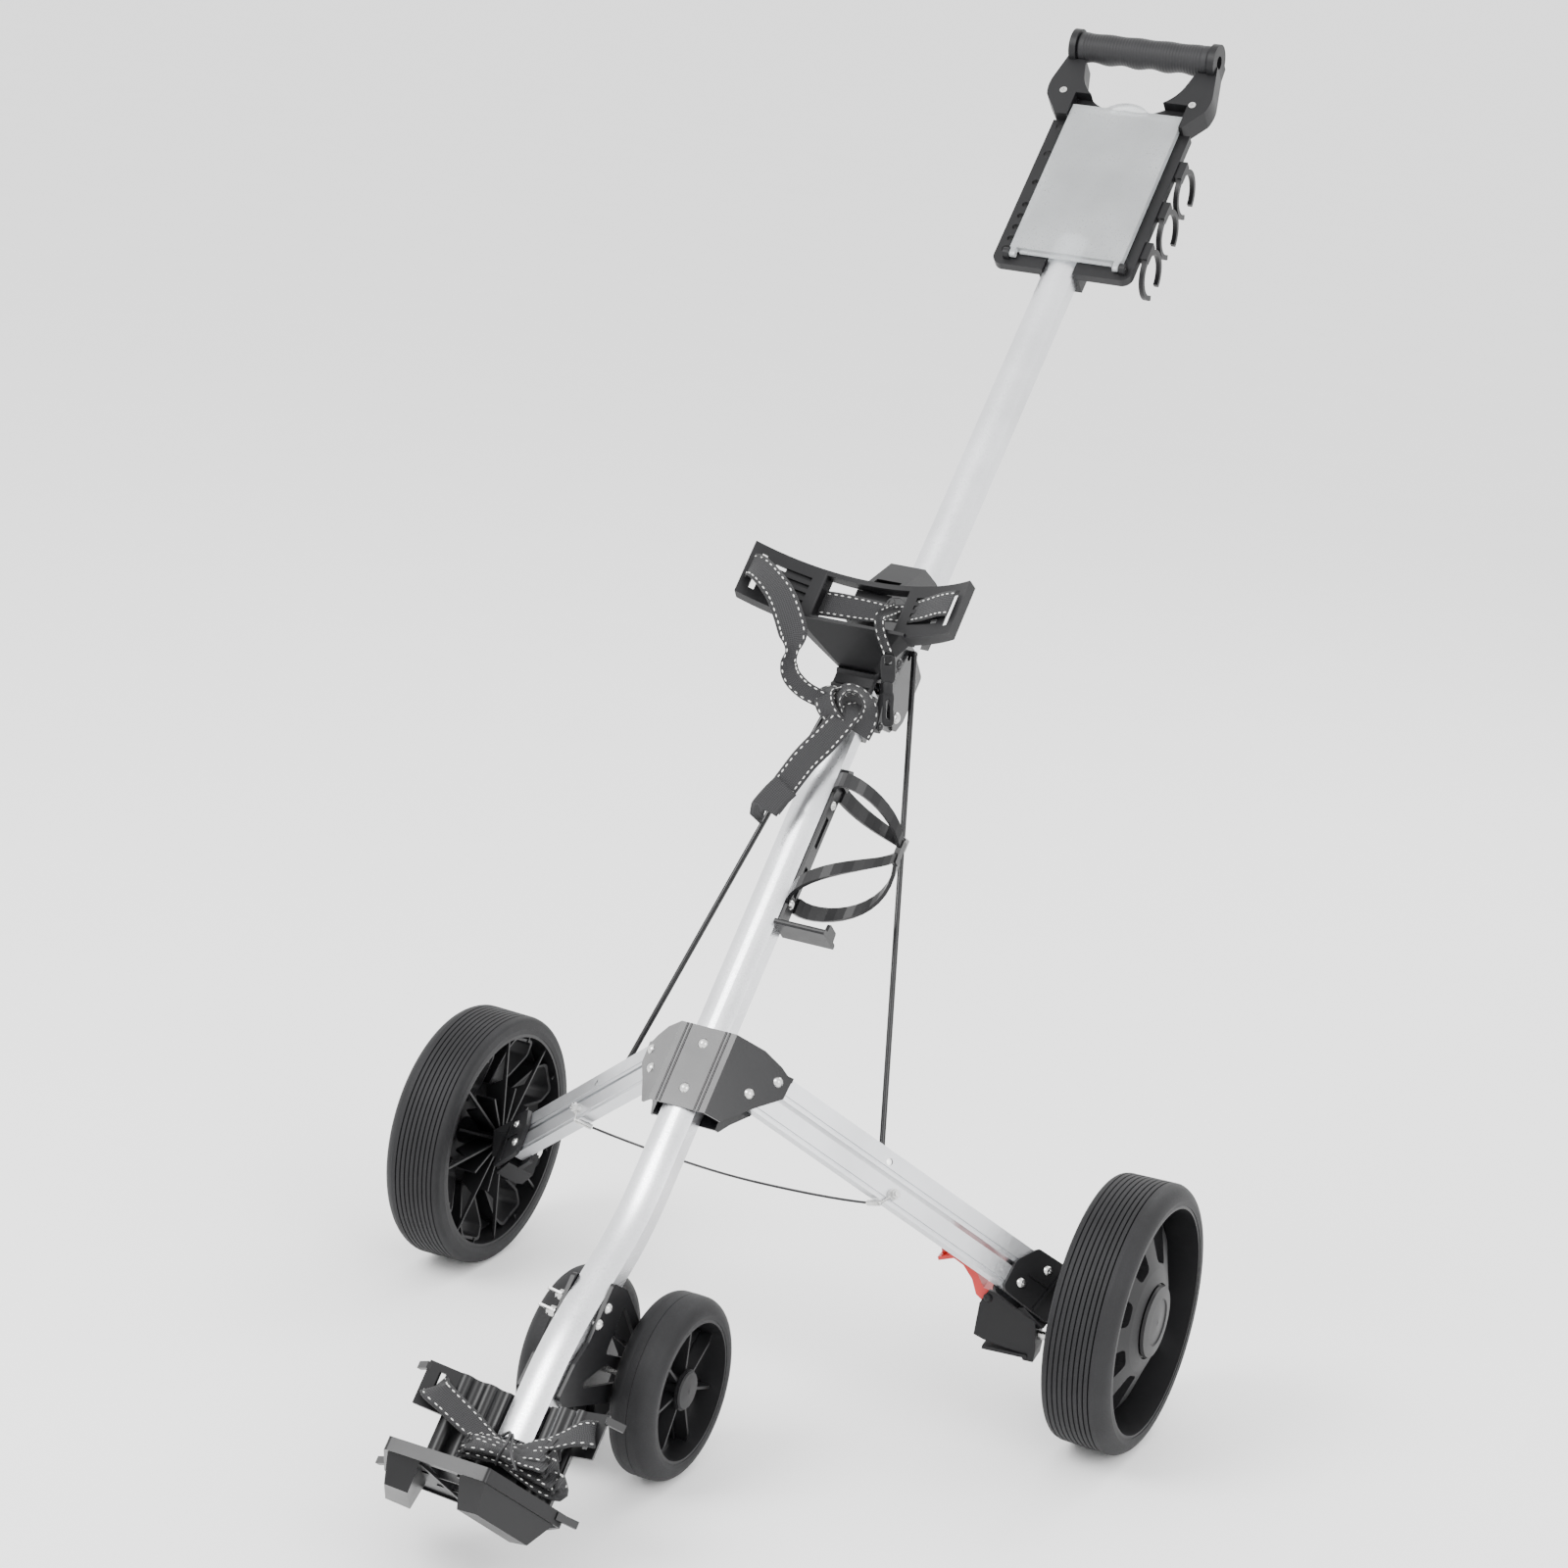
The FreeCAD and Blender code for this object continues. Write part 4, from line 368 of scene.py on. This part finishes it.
def band_frames(keys, steps):
    """Points, tangents, sides and normals along a strap. A key is (x, y, z, normal x, y, z, width, cup)."""
    line = smooth_line(keys, steps)
    points = [Vector(row[:3]) for row in line]
    frames = []
    for index, row in enumerate(line):
        ahead = points[min(index + 1, len(points) - 1)] - points[max(index - 1, 0)]
        tangent = ahead.normalized()
        normal = Vector(row[3:6])
        normal = (normal - tangent * normal.dot(tangent)).normalized()
        frames.append((points[index], tangent, tangent.cross(normal), normal, row[6], row[7]))
    return frames


def strap(name, place, keys, body, replaced=(), width=25.0, thick=1.5, steps=14, stitched=True):
    """Flat webbing swept along its route, with rows of stitches near both edges."""
    frames = band_frames(keys, steps)
    across = [-1.0, -0.8, -0.4, 0.0, 0.4, 0.8, 1.0]
    rings = []
    for point, _, side, normal, factor, cup in frames:
        half = width / 2 * factor
        ring = []
        for share in across:
            ring.append(point + side * half * share + normal * (cup * share * share + thick / 2))
        for share in reversed(across):
            ring.append(point + side * half * share + normal * (cup * share * share - thick / 2))
        rings.append([place @ (spot * MM) for spot in ring])
    data = skin(rings)
    layer = data.uv_layers[0].data
    for loop in layer:
        v = loop.uv.y * 2
        loop.uv.y = v if v <= 1 else 2 - v
    made = piece(name, data, body, "webbing", replaced=replaced)
    if stitched:
        stitches(name + "_stitches", place, frames, body, width, thick)
    return made


def stitches(name, place, frames, body, width, thick, pitch=5.4, length=3.6):
    """Raised thread dashes along both edges, on both faces of a strap."""
    mesh = bmesh.new()
    travelled, wanted = 0.0, 2.0
    for index in range(1, len(frames)):
        travelled += (frames[index][0] - frames[index - 1][0]).length
        if travelled < wanted:
            continue
        wanted = travelled + pitch
        point, tangent, side, normal, factor, cup = frames[index]
        half = width / 2 * factor * 0.78
        for edge in (-1, 1):
            for face in (-1, 1):
                spot = point + side * half * edge + normal * (cup * 0.61 + face * (thick / 2 + 0.05))
                turn = Matrix((tangent, side, normal)).transposed().to_4x4()
                size = Matrix.Diagonal((length / 2, 0.62, 0.36, 1))
                bmesh.ops.create_uvsphere(mesh, u_segments=8, v_segments=6, radius=1.0,
                                          matrix=Matrix.Translation(spot) @ turn @ size)
    for vert in mesh.verts:
        vert.co = place @ (vert.co * MM)
    data = bpy.data.meshes.new(name)
    mesh.to_mesh(data)
    mesh.free()
    return piece(name, data, body, "thread")


def tube_piece(name, place, points, radius, body, look, steps=10, sides=12, replaced=()):
    """A round wire or rod through points given in millimetres."""
    line = [Vector(row) for row in smooth_line([list(p) for p in points], steps)]
    rings = []
    side = Vector((1, 0, 0))
    for index, point in enumerate(line):
        tangent = (line[min(index + 1, len(line) - 1)] - line[max(index - 1, 0)]).normalized()
        side = (side - tangent * side.dot(tangent))
        side = side.normalized() if side.length > 1e-4 else tangent.orthogonal().normalized()
        other = tangent.cross(side)
        rings.append([place @ ((point + (side * math.cos(2 * math.pi * k / sides)
                                         + other * math.sin(2 * math.pi * k / sides)) * radius) * MM)
                      for k in range(sides)])
    return piece(name, skin(rings), body, look, replaced)


# ---------------------------------------------------------------- straps on the cradle
strap("cradle_strap", LOWER, [
    (-52, 391, 56, 0.0, 0, 1, 1, 0), (-30, 391, 58.5, 0.05, 0, 1, 1, 0),
    (0, 391, 59.5, 0.02, 0.05, 1, 0.96, 0),
    (20, 390, 61, 0.0, 0.1, 1, 0.84, 1.5), (31, 390, 63, -0.2, 0.1, 1, 0.72, 2.2),
    (44, 391, 67, -0.5, 0.05, 0.85, 0.86, 1),
    (64, 392, 80, -0.6, 0, 0.8, 0.98, 0), (82, 393, 92, -0.5, 0, 0.85, 1, 0),
    (94, 393, 98, -0.3, 0, 0.95, 1, 0)],
    "mast", ["cradle_strap"])
strap("cradle_strap_drop", LOWER, [
    (33, 394, 66, 0.3, 0, 0.9, 0.42, 3), (31, 384, 76, 0.7, 0.3, 0.6, 0.40, 3),
    (29, 373, 83, 0.4, 0.2, 0.8, 0.38, 3.5),
    (33, 362, 79, 0.5, -0.3, 0.7, 0.34, 3.5), (42, 350, 70, 0.5, -0.5, 0.6, 0.32, 3)], "mast", thick=1.3,
    steps=10)
strap("strap_loop", LOWER, [
    (-101, 393, 96, -0.5, 0, 0.85, 1, 0), (-92, 391, 101, 0.1, 0.1, 1, 1, 0),
    (-78, 383, 103, 0.3, 0.1, 0.95, 1, 0),
    (-60, 369, 102, 0.35, -0.1, 0.93, 1.02, 0), (-46, 352, 98, 0.3, -0.2, 0.93, 1.04, 0.5),
    (-37, 337, 90, 0.2, -0.3, 0.9, 0.98, 1),
    (-36, 326, 82, 0.3, -0.4, 0.85, 0.46, 3), (-38, 317, 75, 0.5, -0.4, 0.7, 0.60, 2),
    (-34, 309, 68, 0.5, -0.5, 0.7, 0.66, 1),
    (-22, 303, 60, 0.3, -0.6, 0.7, 0.66, 1), (-6, 301, 52, 0.1, -0.5, 0.8, 0.62, 1.5),
    (6, 300, 46, 0.1, -0.4, 0.9, 0.60, 2)],
    "mast", ["strap_tail"])
strap("strap_knot_wrap", LOWER, [
    (12, 318, 36, -0.4, 0.7, 0.5, 0.70, 1), (2, 317, 47, -0.4, 0.5, 0.8, 0.72, 1),
    (-4, 308, 54, -0.4, 0.1, 0.95, 0.76, 1),
    (0, 296, 54, -0.2, -0.4, 0.9, 0.76, 1), (10, 288, 46, 0.0, -0.9, 0.4, 0.72, 1),
    (20, 290, 36, 0.2, -0.9, -0.3, 0.6, 1)],
    "mast", steps=10)
strap("strap_knot_over", LOWER, [
    (14, 291, 40, -0.6, -0.3, 0.6, 0.7, 1), (8, 302, 52, -0.5, 0.1, 0.9, 0.74, 1),
    (14, 313, 56, -0.1, 0.6, 0.8, 0.74, 1.5),
    (25, 315, 52, 0.4, 0.7, 0.6, 0.72, 1), (34, 308, 44, 0.8, 0.3, 0.5, 0.74, 1),
    (36, 296, 40, 0.8, -0.2, 0.5, 0.8, 0.5),
    (33, 282, 38, 0.5, -0.4, 0.8, 0.85, 0)], "mast", steps=10)
strap("strap_tail", LOWER, [
    (27, 306, 42, 0.1, 0.5, 0.9, 0.62, 2), (23, 297, 48, 0.1, -0.1, 1, 0.8, 1.5),
    (16, 284, 46, 0.15, -0.25, 0.97, 0.95, 0.5),
    (6, 268, 41, 0.2, -0.25, 0.95, 1, 0), (-6, 249, 36, 0.15, -0.2, 0.97, 1, 0),
    (-14, 230, 32, 0.12, -0.15, 0.98, 1, 0),
    (-20, 212, 30, 0.1, -0.1, 0.99, 1, 0), (-24, 200, 29, 0.1, -0.1, 0.99, 1, 0)], "mast")
strap("strap_tail_end", LOWER, [
    (-14, 222, 33.4, 0.1, -0.1, 0.99, 1.06, 0), (-20, 211, 32.4, 0.1, -0.1, 0.99, 1.06, 0),
    (-25.5, 198, 31, 0.1, -0.1, 0.99, 1.06, 0),
    (-26, 196.5, 29.0, 0.1, -0.1, 0.99, 1.06, 0)], "mast", thick=1.6, steps=6, stitched=False)
tube_piece("cradle_tie", LOWER,
           [(20, 402, 63), (26, 404, 68), (32, 396, 71), (30, 388, 72), (24, 391, 70), (27, 400, 72),
                                 (36, 403, 70), (45, 394, 71)], 0.55, "mast", "cable", steps=8, sides=8)

# ---------------------------------------------------------------- tied strap in the foot
strap("foot_strap", LOWER, [
    (-73, -373, 66, -0.3, 0.1, 0.9, 0.9, 0), (-66, -379, 78, 0.1, 0.4, 0.9, 1, 0),
    (-50, -386, 76, 0.3, 0.45, 0.8, 1, 0),
    (-34, -393, 72, 0.3, 0.5, 0.8, 1, 0), (-18, -400, 69, 0.2, 0.6, 0.75, 0.9, 0.5),
    (-4, -404, 67, 0.1, 0.7, 0.7, 0.6, 2),
    (10, -405, 66, 0.1, 0.7, 0.7, 0.5, 2.5)], "frame", ["foot_strap"])
FOLDS = [(-24, 52, 74, -0.0), (-20, 58, 79, 4.0), (-26, 66, 72, 8.0), (-18, 48, 68, -4.0)]
for number, (left, right, depth, drop) in enumerate(FOLDS):
    strap(f"foot_fold_{number}", LOWER, [
        (10, -405 - drop, depth - 7, 0.1, 0.6, 0.8, 0.5, 2),
        (left + 12, -409 - drop, depth - 2, 0.0, 0.7, 0.7, 0.62, 1),
        (left, -411 - drop, depth + 3, -0.9, 0.3, 0.4, 0.66, 0),
        (left + 10, -408 - drop, depth + 8, 0.0, -0.6, -0.8, 0.6, 1),
        (10, -406 - drop, depth + 1, 0.1, -0.6, -0.8, 0.46, 2),
        (right - 22, -406 - drop * 1.5, depth + 8, 0.2, -0.5, -0.8, 0.62, 1),
        (right - 6, -404 - drop * 2, depth + 12, 0.3, -0.5, -0.8, 0.76, 0),
        (right, -406 - drop * 2, depth + 7, 0.9, 0.2, 0.3, 0.8, 0),
        (right - 8, -410 - drop * 2, depth + 3, 0.1, 0.5, 0.9, 0.7, 0),
        (12, -408 - drop, depth - 3, 0.1, 0.6, 0.8, 0.5, 2)],
        "frame", steps=9)
strap("foot_strap_right", LOWER, [
    (12, -404, 68, 0.0, 0.7, 0.7, 0.5, 2), (28, -399, 72, -0.2, 0.7, 0.7, 0.62, 1),
    (48, -390, 78, -0.3, 0.5, 0.8, 0.85, 0),
    (64, -381, 82, -0.3, 0.3, 0.9, 0.95, 0), (73, -376, 78, 0.2, 0.2, 0.95, 0.95, 0),
    (75, -374, 68, 0.6, 0.1, 0.6, 0.9, 0)], "frame")
tube_piece("foot_tie", LOWER,
           [(4, -398, 78), (12, -395, 84), (16, -404, 90), (12, -416, 86), (8, -420, 76), (6, -412, 66),
                               (8, -398, 66), (14, -396, 82), (24, -412, 92), (34, -424, 92)], 1.3,
                               "frame", "cable", steps=8, sides=8)

# ---------------------------------------------------------------- buckle on the strap that hangs by the hinge
def rounded_bar(name, place, centre, size, look, body, replaced=(), pinch=0.0, hole=None):
    """A moulded bar with soft edges, pinched towards its middle, and with an optional slot through it."""
    mesh = bmesh.new()
    outline = []
    half_x, half_y = size[0] / 2, size[1] / 2
    corners = 28
    for number in range(corners):
        angle = 2 * math.pi * number / corners
        c, s = math.cos(angle), math.sin(angle)
        x = half_x * math.copysign(abs(c) ** 0.55, c)
        y = half_y * math.copysign(abs(s) ** 0.42, s)
        x *= 1 - pinch * math.exp(-((y / (half_y * 0.34)) ** 2))
        outline.append((x, y))
    levels = [(-1.0, 0.82), (-0.86, 0.95), (-0.5, 1.0), (0.5, 1.0), (0.86, 0.95), (1.0, 0.82)]
    outer = [[mesh.verts.new((x * grow, y * (1 + (grow - 1) * 0.5), level * size[2] / 2)) for x,
              y in outline]
             for level, grow in levels]
    inner = []
    if hole:
        for level, grow in levels:
            widen = 1 + (1 - grow) * 0.9
            grow_x, grow_y = hole[0] / size[0] * widen, hole[1] / size[1] * widen
            inner.append([mesh.verts.new((x * grow_x, hole[2] + y * grow_y, level * size[2] / 2))
                          for x, y in outline])
    for low, high in zip(outer, outer[1:]):
        for k in range(corners):
            mesh.faces.new((low[k], low[(k + 1) % corners], high[(k + 1) % corners], high[k]))
    if hole:
        for low, high in zip(inner, inner[1:]):
            for k in range(corners):
                mesh.faces.new((low[(k + 1) % corners], low[k], high[k], high[(k + 1) % corners]))
        for ring_out, ring_in in ((outer[0], inner[0]), (outer[-1], inner[-1])):
            for k in range(corners):
                mesh.faces.new((ring_out[k], ring_out[(k + 1) % corners], ring_in[(k + 1) % corners],
                                ring_in[k]))
    else:
        mesh.faces.new(outer[0])
        mesh.faces.new(outer[-1])
    bmesh.ops.recalc_face_normals(mesh, faces=mesh.faces)
    turn = place @ Matrix.Translation(Vector(centre) * MM)
    for vert in mesh.verts:
        vert.co = turn @ (vert.co * MM)
    data = bpy.data.meshes.new(name)
    mesh.to_mesh(data)
    mesh.free()
    return piece(name, data, body, look, replaced)


def buckle_frame():
    """The buckle hangs down from the cradle strap, in front of the hinge's right side."""
    up = Vector((-7, 50, 45)).normalized()
    front = Vector((0.3, -0.45, 0.84))
    front = (front - up * front.dot(up)).normalized()
    turn = Matrix((up.cross(front), up, front)).transposed().to_4x4()
    return LOWER @ Matrix.Translation(Vector((46.5, 326, 47.5)) * MM) @ turn


HOOK = buckle_frame()
rounded_bar("buckle_eye", HOOK, (0, 18, 0), (13, 26, 6), "black_plastic", "mast",
            replaced=["strap_buckle"], hole=(6.5, 7, 7))
rounded_bar("buckle_neck", HOOK, (0, 1, 0), (8.5, 12, 7.2), "black_plastic", "mast")
rounded_bar("buckle_gate", HOOK, (0, -17, 0), (11, 32, 6.6), "black_plastic", "mast", pinch=0.16,
            hole=(3.4, 17, -1))


# ---------------------------------------------------------------- rubber grip
def make_grip():
    """Hollow rubber sleeve: four finger waves on its underside and fine rings all along."""
    low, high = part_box("handle_grip")
    centre = middle("handle_grip")
    half = (high[0] - low[0]) / 2 / MM
    place = Matrix.Translation(centre) @ Matrix.Rotation(UPPER_LEAN, 4, "X")
    rings = []
    samples, around = 240, 56
    for number in range(samples + 1):
        x = -half + 2 * half * number / samples
        wave = math.cos(math.pi * 2 * (x + half) / (half * 2 / 4.5))
        rib = 0.22 * math.cos(2 * math.pi * x / 3.1)
        end = min(1.0, (half - abs(x)) / 2.5)
        ring = []
        for k in range(around):
            angle = 2 * math.pi * k / around
            under = max(0.0, -math.sin(angle + 0.35))
            radius = 14.6 + 0.35 * wave + under * 0.75 * wave + rib - 1.4 * (1 - end) ** 2
            if abs(x) > half - 7:
                radius = max(radius, 15.0) - 1.2 * (1 - end) ** 2
            ring.append(place @ (Vector((x, math.cos(angle) * radius, math.sin(angle) * radius)) * MM))
        rings.append(ring)
    bore = 9.1
    turns = [2 * math.pi * k / around for k in range(around)]
    inner = [[place @ (Vector((x, math.cos(turn) * bore, math.sin(turn) * bore)) * MM) for turn in turns]
             for x in (half, -half)]
    data = skin(rings + inner, loop=True)
    return piece("handle_grip_sleeve", data, "mast", "grip_rubber", replaced=["handle_grip"])


make_grip()

# ---------------------------------------------------------------- safety cable between the lower leg bars
CABLE_POINTS = [(134.9, -136.8, 215.5), (112.0, -131.5, 210.0), (60.0, -129.6, 205.0), (0.0, -129.6, 202.5)]

CABLE_RADIUS = 1.1 * MM


def route_points(points):
    """Points read from the smooth line that the route's control points give."""
    curve = bpy.data.curves.new("route", "CURVE")
    curve.dimensions = "3D"
    curve.resolution_u = 24
    spline = curve.splines.new("NURBS")
    spline.points.add(len(points) - 1)
    for point, place in zip(spline.points, points):
        point.co = (*place, 1)
    spline.order_u = 3
    spline.use_endpoint_u = True
    holder = bpy.data.objects.new("route", curve)
    scene.collection.objects.link(holder)
    bpy.context.view_layer.update()
    line = bpy.data.meshes.new_from_object(holder.evaluated_get(bpy.context.evaluated_depsgraph_get()))
    found = [vert.co.copy() for vert in line.vertices]
    bpy.data.objects.remove(holder)
    bpy.data.curves.remove(curve)
    bpy.data.meshes.remove(line)
    return found


def make_cable():
    """Two halves, each a fixed curve between the frame and its own lower leg bar."""
    mirrored = [(-x, y, z) for x, y, z in reversed(CABLE_POINTS[:-1])]
    route = [(x * MM, y * MM + AXLE_Y, z * MM) for x, y, z in CABLE_POINTS + mirrored]
    line = route_points(route)
    if line[0].x < 0:
        line.reverse()
    middle_at = min(range(len(line)), key=lambda index: abs(line[index].x))
    sides = 14
    for name, part, body in (("right_cable", line[:middle_at + 1], "right_lower_leg"),
                             ("left_cable", line[middle_at:][::-1], "left_lower_leg")):
        rings = []
        for index, point in enumerate(part):
            tangent = (part[min(index + 1, len(part) - 1)] - part[max(index - 1, 0)]).normalized()
            side = tangent.cross(Vector((0, 1, 0))).normalized()
            other = tangent.cross(side)
            turns = [2 * math.pi * k / sides for k in range(sides)]
            rings.append([point + (side * math.cos(turn) + other * math.sin(turn)) * CABLE_RADIUS for turn in turns])
        made = piece(name, skin(rings), None, "cable", replaced=["safety_cable"])
        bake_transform(made)


make_cable()

# ---------------------------------------------------------------- studio
FLOOR_REACH = 150.0
floor_mesh = bpy.data.meshes.new("floor")
floor_mesh.from_pydata([(x * FLOOR_REACH, y * FLOOR_REACH, 0) for x,
                        y in ((-1, -1), (1, -1), (1, 1), (-1, 1))],
                       [], [(0, 1, 2, 3)])
floor = bpy.data.objects.new("floor", floor_mesh)
scene.collection.objects.link(floor)
floor_look = shader("floor_white", (0.93, 0.93, 0.93), 0.7)
floor_detail = Detail(floor_look)
floor_tone = floor_detail.noise(floor_detail.coords(), 3.0, 3.0)
floor_detail.color(floor_detail.ramp(floor_tone,
                                     [(0.2, (0.925, 0.925, 0.925)), (0.8, (0.945, 0.945, 0.945))]))
floor_mesh.materials.append(floor_look)

world = bpy.data.worlds.new("studio")
world.use_nodes = True
world.node_tree.nodes["Background"].inputs["Color"].default_value = (1, 1, 1, 1)
world.node_tree.nodes["Background"].inputs["Strength"].default_value = 2.0
scene.world = world


def lamp(name, place, target, size, watts):
    light = bpy.data.lights.new(name, "AREA")
    light.shape = "DISK"
    light.size = size
    light.energy = watts
    made = bpy.data.objects.new(name, light)
    made.location = place
    made.rotation_euler = (Vector(target) - Vector(place)).to_track_quat("-Z", "Y").to_euler()
    scene.collection.objects.link(made)


lamp("key_light", (-1.6, -2.4, 3.2), (0, 0, 0.5), 2.0, 150)
lamp("fill_light", (3.0, -1.6, 2.2), (0, 0, 0.5), 2.4, 70)
lamp("rim_light", (0.6, 2.8, 2.8), (0, 0, 0.6), 1.8, 50)
